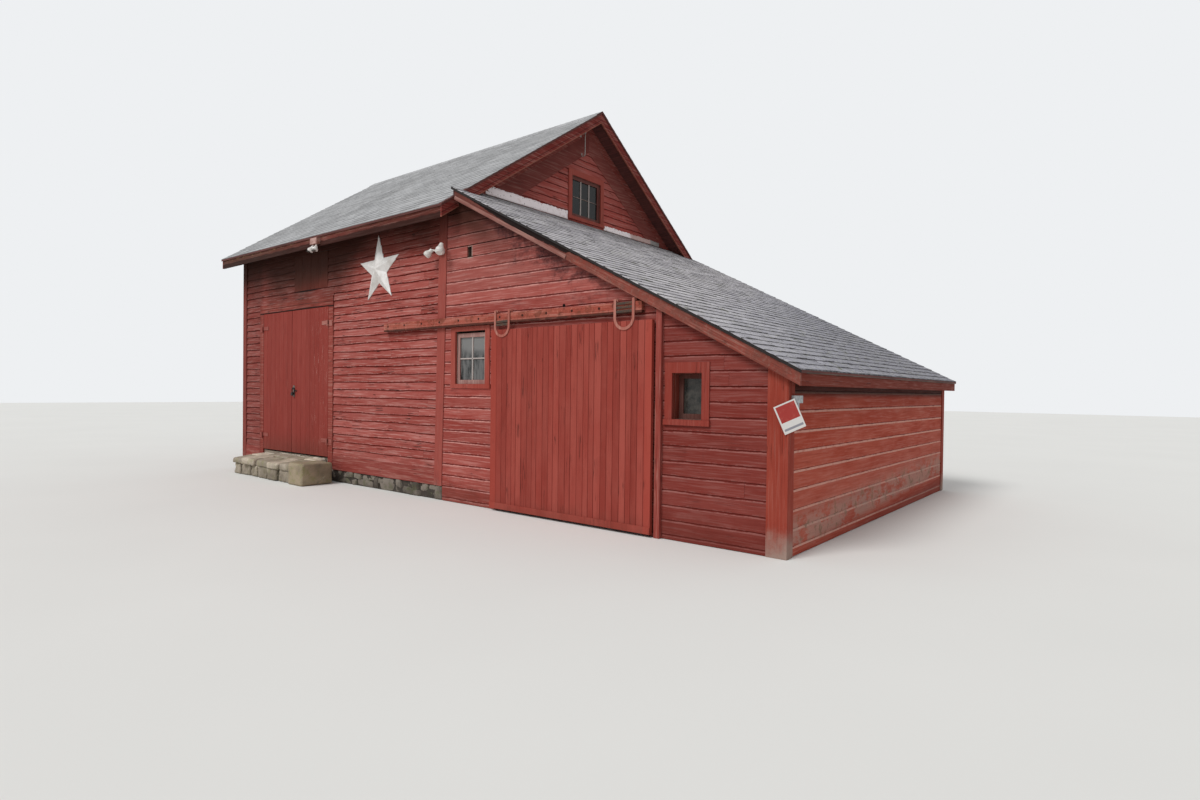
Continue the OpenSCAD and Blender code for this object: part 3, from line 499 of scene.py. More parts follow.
def painted_eave_shade(at, colour):
    """Painted shade under the eave: thickest at the top, reaching lowest around the
    loft hatch; the strip left of the doors is darkened by painted shade from top to bottom."""
    reach = reckon("MINIMUM", at.x.ease(0.6, 1.5, 0.28, 0.52), at.x.ease(2.9, 4.3, 0.52, 0.0))
    level = at.z + reach + (at.cloud(1.5, 4.0, 0.6) - 0.5) * 0.55
    # painted shade over the strip left of the doors, then painted shade under the eave
    colour = mix(at.x.ease(0.6, 0.8, 0.4, 0.0), colour, "4a1f18")
    return mix(level.ease(2.98, 3.85, 0.0, 0.93), colour, "2e170e")


def header_gap_shadow_and_joint(at, colour):
    """The head of the doorway is two boards: a black line over the leaves is painted shadow
    in the gap there, and a thin dark joint lies between the boards; both sag a little. The
    painted eave shade goes over them."""
    sag = (at.cloud(1.3, 3.0, 0.6, (1.0, 1.0, 0.1)) - 0.5) * 0.03
    up = at.z + sag - span_of("left_door_leaf")[1][2]
    # painted shadow in the gap over the leaves, then the dark joint between the head boards
    for height, thick, share in ((0.008, 0.014, 0.95), (0.082, 0.005, 0.75)):
        colour = mix(abs(up - height).ease(thick * 0.6, thick * 1.3, share, 0.0), colour, "21100d")
    return painted_eave_shade(at, colour)


def pilaster_fade(at, colour):
    """The pilaster and the left corner have gone pinker than the corner of the lean-to; painted
    eave shade goes over them.
    """
    return painted_eave_shade(at, mix(at.x.ease(7.0, 8.0, 0.35, 0.0), colour, "a35f5a"))


give(["corner_boards"], painted("corner_board_paint", "z", "8d3629", "994739", "5f2a22", fixed=0.35,
                                wear=0.08, foot=(0.35, "9b8d82", 0.8), more=pilaster_fade))
give(["door_casing"], painted("door_casing_paint", "x", "8a3c33", "964b42", "5c2b24", fixed=0.4,
                              more=header_gap_shadow_and_joint))
give(["gable_friezes"], painted("frieze_paint", "y", "74322c", "7d3f38", "4a2420", fixed=0.45))

# Clapboards of the main block: split pine boards that show 115 mm, thick at the butt and thin
# at the top, nailed through the butt. They are wavy, cracked, and butt end to end here and there.
def lay_rows(levels, span, gaps, board_long, seed):
    """Cuts rows of boards to a wall. span(z) gives the two ends of the wall at a height, gaps
    are (x0, x1, z0, z1) left free. Each board is (low ends, high ends, heights, share of its
    row at both heights, row). a and b stand for left and right ends, p and q for the low and
    the high edge of a board."""
    rng, made = np.random.default_rng(seed), []
    sliver, butt_joint, scrap = 0.004, 0.002, 0.02
    for row, (z0, z1) in enumerate(zip(levels[:-1], levels[1:])):
        inside = [z for gap in gaps for z in gap[2:] if z0 + sliver < z < z1 - sliver]
        heights = sorted({z0, z1, *inside})
        joints = np.cumsum(board_long * (0.6 + 0.8 * rng.random(12))) + span(z0)[0]
        for p, q in zip(heights[:-1], heights[1:]):
            parts = [(*span(p), *span(q))]
            holes = [tuple(gap[:2]) for gap in gaps if gap[2] < q - 1e-4 and gap[3] > p + 1e-4]
            for a, b in holes + [(j, j + butt_joint) for j in joints]:
                cut = []
                for ap, bp, aq, bq in parts:
                    if b <= min(ap, aq) or a >= max(bp, bq):
                        cut.append((ap, bp, aq, bq))
                        continue
                    cut += [(ap, min(a, bp), aq, min(a, bq))] if a > ap + scrap else []
                    cut += [(max(b, ap), bp, max(b, aq), bq)] if b < bp - scrap else []
                parts = cut
            for ap, bp, aq, bq in parts:
                end = q
                if bq - aq < butt_joint:
                    share = (bp - ap) / max((bp - ap) - (bq - aq), 1e-6)
                    aq = bq = ap + (aq - ap) * share
                    end = p + (q - p) * share
                if bp - ap > 0.01 and end - p > 0.003:
                    made.append((ap, bp, aq, bq, p, end, (p - z0) / (z1 - z0), (end - z0) / (z1 - z0), row))
    return np.array(made)


def board_rings(rows, face, butt, thin, wobble=0.003, long=1.3, seed=0.0, lap=0.012, cove=0.0, stations=16):
    """A wedge section, thick at the low edge and thin at the high edge, is carried along each
    board; both edges wander by waves of the place and the row, so that rows keep together.
    edge runs from 0 at the butt to 0.9 at the next board's butt, and 1 behind that."""
    ap, bp, aq, bq, p, q, tp, tq, row = (rows[:, k, None] for k in range(9))
    s = np.linspace(0, 1, stations)[None]
    low, high = ap + (bp - ap) * s, aq + (bq - aq) * s
    free_low, free_high = tp < 0.01, tq > 0.99
    cup, cove_deep = 0.0016, 0.009
    z_low = p + wobble * waves(low, row + seed, long) * free_low
    z_high = q + wobble * waves(high, row + 1 + seed, long) * free_high
    d_low = butt + (thin - butt) * tp + cup * waves(low, row * 3.7 + seed, 0.9)
    d_high = butt + (thin - butt) * tq + 0 * s
    points = [(low, z_low, 0 * low, tp * 0.9), (low, z_low, d_low, tp * 0.9)]
    if cove:
        z_cove = z_high - np.where(free_high, cove, 0.002)
        points.append((low + (high - low) * 0.85, z_cove, d_low, np.where(free_high, 0.8, tq * 0.9)))
        d_high = np.where(free_high, d_low - cove_deep, d_low)
    z_lap, hidden = z_high + np.where(free_high, lap, 0.0005), np.where(free_high, 1.0, tq * 0.9)
    points += [(high, z_high, d_high, tq * 0.9), (high, z_lap, d_high * 0.9, hidden),
               (high, z_lap, 0 * low, hidden)]
    rings = np.stack([face(x, z, d) for x, z, d, _ in points], 2)
    return rings, np.stack([t + 0 * low for *_, t in points], 2)


def clad(name, levels, span, gaps, board_long, draw, face, material, slot, **section):
    """Sides one wall: its rows are cut into boards, and the boards get their section."""
    pieces = lay_rows(levels, span, gaps, board_long, draw)
    tubes(name, [board_rings(pieces, face, **section)], material)


wall_hi = span_of("front_wall_right")[1]
main_len, depth = wall_hi[0], span_of("back_wall")[1][1]
# main roof: slope, height of its top plane over the wall faces, overhang, deck with rafters
slope, plane_z, over, roof_thick = math.radians(34.2), 3.96, 0.3, 0.111
pitch = math.tan(slope)
corner_wide, pilaster_wide, behind_pilaster = 0.1, 0.155, main_len - 0.05
skirt_top = span_of("skirt_boards")[1][2]
case_lo, case_hi = span_of("door_casing")
hatch_lo, hatch_hi = span_of("loft_hatch")
low_rows = 23
show = (hatch_lo[2] - skirt_top) / low_rows
rows = skirt_top + show * np.arange(low_rows + 1)
wall_top = wall_hi[2] - 0.0005
unbroken = 9.0
right_of_doors = lay_rows(rows, lambda z: (case_hi[0] + 0.001, behind_pilaster), [], 2.4, 5)
header = [case_hi[2], hatch_lo[2]]
left_of_doors = lay_rows([*rows[:21], rows[20] + 0.1, *header],
                         lambda z: (corner_wide, case_lo[0] - 0.001), [], unbroken, 6)
over_doors = lay_rows(header, lambda z: (case_lo[0], case_hi[0]), [], unbroken, 7)
around_hatch = (hatch_lo[0] - 0.003, hatch_hi[0] + 0.003, 3.0, hatch_hi[2] + 0.004)
upper = lay_rows([*(rows[-1] + show * np.arange(7)), wall_top],
                 lambda z: (corner_wide, behind_pilaster), [around_hatch], 3.1, 8)


def under_hatch(at, colour):
    """Painted shade under the eave, and a black line along the foot of the loft hatch, painted
    shadow of the gap under it.
    """
    middle = abs(at.x - ((hatch_lo[0] + hatch_hi[0]) / 2 - 0.12))
    gap = (abs(at.z - (hatch_lo[2] - 0.008)) < middle.ease(0.1, 0.42, 0.017, 0.004)) * (middle < 0.42)
    return mix(gap * 0.9, painted_eave_shade(at, colour), "120a08")


clap_paint = painted("clapboard_paint", "x", "8f4038", "a35a53", "64261f", pale="b98880", splits=0.9,
                     wear=0.6, foot=(0.75, "6c3f36", 0.7), more=under_hatch, line=0.75)
clapboard = {"butt": 0.0185, "thin": 0.004, "lap": 0.02, "long": 1.7}
groups = [board_rings(right_of_doors, front, wobble=0.008, seed=1.0, **clapboard),
          board_rings(left_of_doors, front, wobble=0.007, seed=2.0, **(clapboard | {"long": 1.1})),
          board_rings(over_doors, front, butt=0.0165, thin=0.01, seed=3.0),
          board_rings(upper, front, wobble=0.008, seed=24.0, **clapboard)]
tubes("front_clapboards", groups, clap_paint)

narrow_frieze, frieze_wide = 0.15, 0.305
under = roof_thick / math.cos(slope) + narrow_frieze
edge_at = lambda z: max(corner_wide, (z + under + frieze_wide - plane_z) / pitch)
gable_span = lambda z: (edge_at(z), depth - edge_at(z))


def below_main(at):
    """How far a point lies below the top plane of the main roof."""
    return reckon("MINIMUM", at.y, depth - at.y) * pitch + plane_z - at.z


def painted_rake_shade(at, colour):
    """Painted shade on the gables that fades out over a metre below the roof."""
    down = below_main(at) + at.cloud(3.0, 4.0, 0.6) * 0.25
    return mix(down.ease(0.55, 1.25, 0.42, 0.0), colour, "4a201c")


gable_paint = painted("gable_clapboard_paint", "y", "a94d45", "b6675f", "5f2b25", pale="b98880",
                      splits=0.8, wear=0.45, foot=(0.75, "744a40", 0.5), more=painted_rake_shade, line=0.77)
clad("left_gable_clapboards", skirt_top + show * np.arange(47), gable_span, [], 2.6, 9, left,
     gable_paint, "red_siding", wobble=0.007, seed=50.0, **clapboard)
back = wall_face(1, 1, depth)
clad("back_clapboards", [*(skirt_top + show * np.arange(30)), wall_top],
     lambda z: (corner_wide, main_len - pilaster_wide), [], 2.9, 10, back, clap_paint, "red_siding",
     wobble=0.007, seed=90.0, **clapboard)

# gable over the lean-to: slope and top of its roof; left, right, foot and head of the window
lean_slope = math.radians(27)
lean_tan, lean_top = math.tan(lean_slope), 4.137
gable_win = (2.457, 3.177, 4.220, 4.862)
casing, sill, upper_show = 0.082, 0.057, 0.1085
gap = (gable_win[0] - casing, gable_win[1] + casing, gable_win[2] - sill, gable_win[3] + 0.09)
sill_gap = (gap[0] - 0.012, gap[1] + 0.012, gap[2] - 0.002, gable_win[2] + 0.001)
clad("upper_gable_clapboards", [lean_top + 0.001, *(4.182 + upper_show * np.arange(13))], gable_span,
     [gap, sill_gap], 2.0, 11, wall_face(0, 1, main_len), gable_paint, "red_siding",
     wobble=0.006, seed=130.0, **(clapboard | {"butt": 0.0165, "long": 1.4}))

# Wide frieze boards: one plain pine board under each rake of both gables, below the narrow
# frieze that the roof rests on; the siding stops against its lower edge.
def frieze_rings(x_back, x_front, low):
    """A flat section with eased corners is carried up the slope to the middle of the gable and
    down the other side; the lower edge wanders by waves and stops at the height low."""
    bevel, wobble, clear, stations = 0.003, 0.003, 0.0005, 30
    start = max(corner_wide, (low + 0.02 + under - plane_z) / pitch)
    y = np.linspace(start, depth / 2 - clear, stations)[None] + np.zeros((2, 1))
    high = plane_z + pitch * y - under - clear
    foot = high - frieze_wide - wobble * waves(y, np.array([[1.0], [2.0]]) + x_front, 1.7)
    foot = np.maximum(foot, low)
    y = np.where(np.array([[True], [False]]), y, depth - y)
    eased = x_front - bevel * np.sign(x_front - x_back)
    points = [(x_back, high), (x_front, high), (x_front, foot + bevel), (eased, foot), (x_back, foot)]
    return np.stack([np.stack([x + 0 * y, y, z], -1) for x, z in points], 2)


frieze_paint = painted("wide_frieze_paint", "y", "82403a", "8f4f48", "4f2823", splits=0.4, fade=0.9,
                       more=painted_rake_shade)
frieze_thick = 0.0195
ends = (("right_gable_frieze", main_len, frieze_thick, lean_top + 0.001),
        ("left_gable_frieze", 0.0, -frieze_thick, 3.2))
for name, wall_x, out_by, low in ends:
    tubes(name, [(frieze_rings(wall_x, wall_x + out_by, low), 0.5)], frieze_paint)

# Hinged leaves: vertical tongue-and-groove boards about 140 mm wide, with three ledges
# nailed across the back. The face is one coat of deep red over older, paler paint.
def plank_rings(cuts, z0, z1, front_y, back_y, bevel=0.003, uneven=0.0012, stations=8, seed=0):
    """A board section with bevelled front corners is carried up each board; the front wanders
    a little in and out by a wave of the height."""
    x0, x1 = cuts[:-1, None] + 0.0004, cuts[1:, None] - 0.0004
    z = z0 + (z1 - z0) * np.linspace(0, 1, stations)[None] + 0 * x0
    sway = 0.5 * (1 + waves(z, np.arange(len(x0))[:, None] + seed, 1.6))
    y = front_y + uneven * dice(len(x0), seed)[:, None] + uneven * sway
    points = [(x0, back_y), (x0, y + bevel), (x0 + bevel, y), (x1 - bevel, y), (x1, y + bevel), (x1, back_y)]
    rings = np.stack([np.stack([x + 0 * z, yy + 0 * z, z], -1) for x, yy in points], 2)
    return rings, [0.5, 1.0, 0.5, 0.5, 1.0, 0.5]


def board_cuts(x0, x1, wide, vary, seed):
    """Edges of boards of nearly the same width between two places."""
    width = 1 + vary * (dice(max(1, round((x1 - x0) / wide)), seed) - 0.5)
    return x0 + (x1 - x0) * np.concatenate([[0], np.cumsum(width) / width.sum()])


def level_board(x0, x1, z0, z1, high_share):
    """One straight board in the form that lay_rows gives; its edges don't wander."""
    return np.array([[x0, x1, x0, x1, z0, z1, 0.3, high_share, 1.0]])


def door_streaks(at, colour):
    """Pale vertical runs where the old coat shows, and dirt splashed up from the step."""
    colour = mix(at.cloud(3.0, 3.0, 0.6, (18.0, 18.0, 0.5)).ease(0.62, 0.72, 0.0, 0.35), colour, "b9786c")
    flakes = at.cloud(4.0, 5.0, 0.75, (22.0, 22.0, 0.7)).ease(0.6, 0.66) * at.x.ease(2.3, 2.55)
    colour = mix(flakes * 0.8, colour, "cba095")
    return mix(at.z.ease(0.38, 0.75, 0.35, 0.0), colour, "5f3a30")


door_paint = painted("hinged_door_paint", "z", "86362e", "8e4139", "5f2b25", fade=0.6, splits=0.25,
                     wear=0.0, more=door_streaks, vary=0.07)
leaf_thick, ledge_high, ledge_thick, strap_inset = 0.025, 0.13, 0.0215, 0.25
for side, seed in (("left", 3), ("right", 4)):
    lo, hi = span_of(side + "_door_leaf")
    back_y = lo[1] + leaf_thick
    cuts = board_cuts(lo[0], hi[0], wide=0.14, vary=0.25, seed=seed)
    groups = [plank_rings(cuts, lo[2], hi[2], lo[1], back_y, seed=seed)]
    low, high = lo[2] + strap_inset - ledge_high / 2, hi[2] - strap_inset - ledge_high / 2
    for z in (low, (low + high) / 2, high):
        ledge = level_board(lo[0] + 0.06, hi[0] - 0.06, z, z + ledge_high, 0.6)
        groups.append(board_rings(ledge, wall_face(1, 1, back_y), ledge_thick, ledge_thick, 0.0, stations=6))
    leaf = tubes(side + "_leaf_boards", groups, door_paint, side + "_door")
    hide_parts(side + "_door_leaf")

# Loft hatch under the eave: wide vertical boards set into an opening of their own, a little
# proud of the clapboards and darker red in the shade of the roof.
lo, hi = hatch_lo, hatch_hi
cuts = board_cuts(lo[0], hi[0], wide=0.27, vary=0.3, seed=8)
boards = plank_rings(cuts, lo[2], hi[2], lo[1], hi[1], bevel=0.004, seed=9)
hatch_paint = painted("hatch_paint", "z", "82392f", "8c463b", "522822", wear=0.0, more=painted_eave_shade)
hatch = tubes("hatch_boards", [boards], hatch_paint)
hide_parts("loft_hatch")

# Siding of the lean-to: planed drop siding, 146 mm to the board at front and back and 173 mm
# on the end wall. A cove along the top of each board catches the light under a dark joint; a painted
# highlight along the cove and a painted shadow line under each joint add to both.
full_len = span_of("lean_end_wall")[1][0]
lean_z = lambda x: lean_top - lean_tan * (x - main_len)
wall_drop = roof_thick / math.cos(lean_slope) + 0.001
post_lo, post_hi = span_of("door_post")
# openings of the front: left, right, foot and head
doorway = (6.777, 9.022, -0.1, 2.115)
side_win = (5.995, 6.562, 1.519, 2.184)
small_win = (9.277, 9.610, 1.185, 1.634)
vent = (6.201, 6.287, 3.108, 3.248)
cased = lambda w, head: np.add(w, (-casing - 0.001, casing + 0.001, -sill - 0.001, head + 0.001))
lean_show, lean_corner, main_eave = 0.146, 0.17, 3.82
left_end = lambda z: main_len + (0.001 if z < main_eave else over + 0.002)
right_end = lambda z: min(full_len - lean_corner, main_len + (lean_top - wall_drop - z) / lean_tan)
lean_span = lambda z: (left_end(z), max(right_end(z), left_end(z)))
lean_rows = [0.003, *(0.053 + lean_show * np.arange(27))]
gaps = [doorway, cased(side_win, 0.055), cased(small_win, 0.104), vent, (post_lo[0], post_hi[0], -0.1, 2.4)]


def below_lean(at):
    """How far a point lies below the top plane of the roof of the lean-to."""
    return lean_top + lean_tan * main_len - at.x * lean_tan - at.z


def radius(a, b):
    """Distance of a point whose two offsets are given."""
    return reckon("SQRT", a * a + b * b)


def roofline_stain_and_shade(at, colour):
    """Painted shade under the roofline at the apex and black mould in patches right under the sloping
    roofline; holes, runs, paler boards higher up, and painted shade on the end right of the sliding door."""
    below = below_lean(at) - 0.124
    patch = at.cloud(2.6, 6.0, 0.72, (1.0, 1.0, 1.6)).ease(0.36, 0.7) * 0.52
    mottle = at.cloud(12.0, 5.0, 0.75).ease(0.3, 0.7, 0.45, 1.0)
    reach = at.x.ease(6.2, 7.0) * at.x.ease(8.1, 8.8, 1.0, 0.12)
    stain = (below - patch).ease(-0.3, 0.2, 0.95, 0.0) * mottle * reach
    # painted shade under the roof near the apex
    apex = below.ease(0.16, 0.68, 0.95, 0.0) * at.x.ease(6.1, 7.6, 1.0, 0.0)
    colour = mix(at.z.ease(2.2, 2.9, 0.0, 0.1), colour, "cf9c94")
    # painted shade on the end right of the sliding door
    colour = mix(at.x.ease(8.7, 9.3, 0.0, 0.6), colour, "5f211b")
    colour = mix(at.cloud(3.0, 3.0, 0.6, (9.0, 9.0, 0.6)).ease(0.6, 0.75, 0, 0.25), colour, "5e332d")
    knot = radius(at.x - 7.843, at.z - 2.392) + at.cloud(40.0, 2.0) * 0.012
    colour = mix(knot.ease(0.022, 0.03, 1.0, 0.0), colour, "0c0807")
    aside = abs(at.x - ((vent[0] + vent[1]) / 2 + 0.01)) < (vent[1] - vent[0]) / 2 + 0.006
    above = abs(at.z - ((vent[2] + vent[3]) / 2 - 0.006)) < (vent[3] - vent[2]) / 2 + 0.01
    colour = mix(aside * above * 0.7, colour, "a08c82")
    return mix(stain, mix(apex, colour, "2e170e"), "26151a")


lean_paint = painted("lean_siding_paint", "x", "923f37", "a1554d", "622620", pale="c38b83", splits=0.35,
                     wear=0.42, foot=(0.5, "6a342b", 0.6), more=roofline_stain_and_shade, arris=0.85, line=0.818,
                     vary=0.16)
cove = 0.024
lean_sides = (("lean_front_boards", front, gaps, 4.2, 12, 200.0),
              ("lean_back_boards", back, [], 3.6, 13, 240.0))
for name, face, holes, board_long, draw, seed in lean_sides:
    clad(name, lean_rows, lean_span, holes, board_long, draw, face, lean_paint, "lean_siding",
         butt=0.0175, thin=0.011, wobble=0.0025, seed=seed, cove=cove)


def end_wall_wear_and_shade(at, colour):
    """Low on the end wall the paint has gone: bare grey wood in a slanting patch, moss in it;
    under the eave the wall is darkened by painted shade."""
    height = at.z - (at.y + corner[1]) * 0.04
    zone = height.ease(0.1, 0.22) * height.ease(0.32, 0.55, 1.0, 0.0)
    bare = at.cloud(3.2, 6.0, 0.72, (1.0, 0.7, 1.5)).ease(0.42, 0.52) * zone
    colour = mix(bare * 0.55, colour, "a0958a")
    bleached = height.ease(0.05, 0.3) * height.ease(0.35, 0.95, 0.4, 0.0)
    colour = mix(bleached * at.cloud(2.1, 5.0, 0.65).ease(0.3, 0.65, 0.3, 1.0), colour, "b97566")
    colour = mix(at.cloud(11.0, 4.0).ease(0.54, 0.62) * bare * 0.55, colour, "6b5a40")
    up = at.z - span_of("lean_eave_fascia")[0][2]
    # painted shade under the fascia of the eave
    colour = mix(up.ease(-0.5, -0.12, 0.0, 0.15), colour, "4a2018")
    colour = mix(up.ease(-0.13, -0.04, 0.0, 0.85), colour, "1c0b07")
    return mix(height.ease(0.0, 0.16, 0.55, 0.0), colour, "6a322b")


levels = [0.003, 0.094, 0.252, 0.423, 0.601, 0.770, 0.947, 1.124, 1.305, 1.478,
          span_of("lean_end_wall")[1][2] - 0.001]
end_paint = painted("end_wall_paint", "y", "9f3c29", "b05543", "682a20", pale="d09a8b", fade=1.0, splits=0.1,
                    wear=0.15, more=end_wall_wear_and_shade, arris=1.0, line=0.868, vary=0.1)
clad("end_wall_boards", levels, lambda z: (corner_wide, depth - corner_wide), [], unbroken, 14,
     wall_face(0, 1, full_len), end_paint, "end_siding", butt=0.0165, thin=0.015, wobble=0.0012,
     seed=300.0, cove=cove, lap=0.0)

# Sliding door: narrow tongue-and-groove boards nailed to a frame, with a board across the
# foot. It hangs from two bent iron bars whose wheels roll on the top of the track board.
lo, hi = span_of("sliding_door")
first, foot_high, foot_thick = 0.1, 0.072, 0.0125
cuts = np.concatenate([[lo[0]], board_cuts(lo[0] + first, hi[0], wide=0.083, vary=0.35, seed=21)])
boards = plank_rings(cuts, lo[2], hi[2], lo[1] + 0.01, hi[1], bevel=0.0035, uneven=0.0015, seed=22)
foot = board_rings(level_board(lo[0], hi[0], lo[2], lo[2] + foot_high, 0.7),
                   wall_face(1, -1, lo[1] + 0.014), foot_thick, foot_thick, 0.0, stations=12)


def slider_wear(at, colour):
    """The first and last boards are newer and brighter."""
    newer = reckon("MAXIMUM", (at.x - lo[0]).ease(first - 0.001, first + 0.001, 1.0, 0.0),
                   (at.x - hi[0]).ease(-0.08, -0.07))
    return mix(newer * 0.55, colour, "a3463a")


slider_paint = painted("sliding_door_paint", "z", "8d3a31", "9a4a40", "57241f", fade=0.9, wear=0.0,
                       foot=(0.3, "753a30", 0.5), more=slider_wear, vary=0.2)
slider = tubes("sliding_door_boards", [boards, foot], slider_paint, "slide_door")
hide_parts("sliding_door")

# Track of the sliding door: a painted board with a flat iron rail bolted along its lower edge
# and rust running from the bolts. Short iron straps tie the two legs of each hanger.
def track_rust_and_highlight(at, colour):
    """A rusty rail along the lower edge with a painted highlight just over it, bolt heads every
    0.38 m and rust runs under them.
    """
    bolt_step, bolt_up = 0.38, 0.07
    flaky = at.cloud(7.0, 5.0, 0.72)
    up = at.z - span_of("door_track")[0][2] + (flaky - 0.5) * 0.014
    colour = mix(flaky.ease(0.48, 0.62, 0.0, 0.65), colour, "6a3a2b")
    crust = at.cloud(26.0, 4.0, 0.75, (1.0, 1.0, 0.7))
    colour = mix(crust.ease(0.58, 0.66, 0.0, 0.7), colour, "33201a")
    colour = mix(crust.ease(0.36, 0.42, 0.6, 0.0), colour, "b5705f")
    colour = mix(up.ease(0.02, 0.026, 0.85, 0.0) * flaky.ease(0.3, 0.5, 0.5, 1.0), colour, "3c2620")
    # painted highlight just over the rail
    pale = up.ease(0.028, 0.031) * up.ease(0.034, 0.038, 1.0, 0.0)
    colour = mix(pale * 0.5, colour, "b8786a")
    away = abs(reckon("FRACT", (at.x + corner[0]) / bolt_step) - 0.5) * bolt_step
    high = up - bolt_up
    colour = mix(radius(away, high).ease(0.013, 0.018, 0.9, 0.0), colour, "241512")
    run = away.ease(0.004, 0.014, 0.5, 0.0) * high.ease(-0.08, 0.0, 1.0, 0.0)
    return mix(run, colour, "4a2a20")


give(["door_track"], painted("track_paint", "x", "99473a", "a65c4d", "54261e", fixed=0.5, more=track_rust_and_highlight))
give(["door_post"], painted("post_paint", "z", "8c3d34", "96504a", "5a2a26", fixed=0.6))
give(["door_hangers"], painted("hanger_paint", "z", "a05a4e", "b0786c", "5f3a31", fixed=0.5, splits=0.0))

# Straps, pintles and the latch of the hinged doors: forged iron, with the eyes of the straps
# round the pins of the pintles. They are painted over with the doors, except the black ring
# and knob of the latch on their bare plate.
def strap_wear(at, colour):
    """The straps of the left leaf keep their paint, those of the right leaf have faded."""
    return mix(at.x.ease(1.7, 1.8, 0.75, 0.0), colour, "87403a")


give(["left_door_straps", "right_door_straps", "door_pintles"],
     painted("strap_paint", "x", "96524a", "b58479", "5a2b25", fixed=0.5, splits=0.0, fade=1.0,
             more=strap_wear))


def iron(name, colour, rust, amount, rough=0.55, metal=0.6, more=None):
    """Material of old iron: paint or scale with rust coming through; more changes the colour
    before it reaches the shader."""
    at = Surface(name)
    spots = at.cloud(38.0, 5.0, 0.7)
    colour = mix(spots.ease(0.45, 0.65, 0, amount), colour, rust)
    return at.finish(more(at, colour) if more else colour, spots.ease(0.3, 0.7, rough - 0.1, rough + 0.2),
                     spots, 0.001, metal=metal)


def rubbed_plate(at, colour):
    """The back plate of the latch is rubbed grey-brown behind the black ring and knob."""
    plate_y = span_of("door_latch")[1][1] - 0.005
    return mix(at.y.ease(plate_y - 0.0005, plate_y + 0.0005), colour, "6f625a")


give(["door_latch"], iron("latch_iron", "0d0c0c", "2a1d18", 0.5, 0.6, 0.2, rubbed_plate))
give(["gable_hook"], iron("hook_iron", "a5a09c", "7a6355", 0.6, 0.55, 0.3))


def bar_rings(starts, ends, wide, thick, side, stations=5):
    """Straight bars with a bevelled section between pairs of points; side is the direction
    of the width, and the thickness stands at right angles to both."""
    starts, ends = np.array(starts, float), np.array(ends, float)
    way = (ends - starts) / np.linalg.norm(ends - starts, axis=1, keepdims=True)
    side = side - (side * way).sum(1, keepdims=True) * way
    side /= np.linalg.norm(side, axis=1, keepdims=True)
    s = np.linspace(0, 1, stations)[None, :, None, None]
    a, b = wide / 2, thick / 2
    quarter = [(-a, -b * 0.5), (-a * 0.6, -b), (a * 0.6, -b), (a, -b * 0.5)]
    shape = np.array(quarter + [(-u, -v) for u, v in quarter])[None, None]
    run = starts[:, None, None] + (ends - starts)[:, None, None] * s
    across, deep = side[:, None, None], np.cross(way, side)[:, None, None]
    return run + across * shape[..., :1] + deep * shape[..., 1:], 0.5


upright = (0, 0, 1)
tie_out, tie_half = -0.0845, 0.128
ties = [(6.92, 2.222), (6.92, 2.256), (8.726, 2.262), (8.726, 2.304), (8.726, 2.345)]
ties = np.array([(x, tie_out, z) for x, z in ties])
straps = bar_rings(ties - (tie_half, 0, 0), ties + (tie_half, 0, 0.006), 0.026, 0.004, upright)
lo, hi = span_of("door_latch")
tongue_out = -0.033
tongue = bar_rings([(hi[0] - 0.01, tongue_out, lo[2] + 0.1)], [(hi[0] + 0.055, tongue_out, lo[2] + 0.096)],
                   0.016, 0.01, upright)
tongue_iron = iron("tongue_iron", "1f1d1c", "40302a", 0.6)
tie_iron = iron("tie_iron", "3d3229", "6b4532", 0.9, 0.7, 0.2)
tubes("latch_tongue", [tongue], tongue_iron, "right_door")
tubes("hanger_ties", [straps], tie_iron, "slide_door")

# Windows: pine casings, sashes with thin muntins and old drawn glass. The side sash has four
# lights, the small one is a single light set deep, the gable sash has six.
def by_window(small, small_share, gable, gable_share):
    """Lays a colour over the small window, right of x = 9, and one over the gable window."""
    def change(at, colour):
        colour = mix((at.x > 9.0) * small_share, colour, small)
        return mix((at.z > 4.0) * gable_share, colour, gable)
    return change


# over the small window the casing takes painted shade, as the siding at that end does
give(["window_casings"],
     painted("window_casing_paint", "z", "963f34", "9f5147", "63302a", fixed=0.5, wear=0.08,
             more=by_window("6a2620", 0.35, "985148", 0.4)))
# the sash of the small window is painted dark as shade inside its deep opening
give(["window_sashes"],
     painted("sash_paint", "z", "87504a", "a58780", "4d3532", fixed=0.5, fade=1.0,
             more=by_window("4b2820", 0.8, "5d332d", 0.8)))
stile, set_in, sash_drop = 0.052, 0.028, 0.025
x0, x1, z0, z1 = np.add(side_win, (stile, -stile, stile, -sash_drop - stile))
middle, half = (x0 + x1) / 2, (z0 + z1) / 2
side_bars = bar_rings([(middle, set_in, z0), (x0, set_in, half)], [(middle, set_in, z1), (x1, set_in, half)],
                      0.018, 0.028, (1, 0, 1))
y0, y1, z0, z1 = np.add(gable_win, (stile, -stile, stile, -stile))
gable_x = main_len - set_in
thirds = [y0 + (y1 - y0) / 3, y0 + (y1 - y0) * 2 / 3]
gable_bars = bar_rings([(gable_x, y, z0) for y in thirds], [(gable_x, y, z1) for y in thirds],
                       0.02, 0.03, (0, 1, 0))
cross_bar = bar_rings([(gable_x, y0, (z0 + z1) / 2)], [(gable_x, y1, (z0 + z1) / 2)], 0.009, 0.024, upright)
muntin_paint = painted("muntin_paint", "z", "b3a9a4", "c9c2bd", "7b6c66", splits=0.4)
tubes("window_muntins", [side_bars, gable_bars], muntin_paint)
cross_bar_paint = painted("cross_bar_paint", "y", "7d6f6a", "93867f", "4c403c")
tubes("gable_cross_bar", [cross_bar], cross_bar_paint)
x0, x1, z0, z1 = small_win
jamb_y, half, liner_deep, liner_thick = 0.052, 0.003, 0.1, 0.005
sides = (x0 + half, x1 - half)
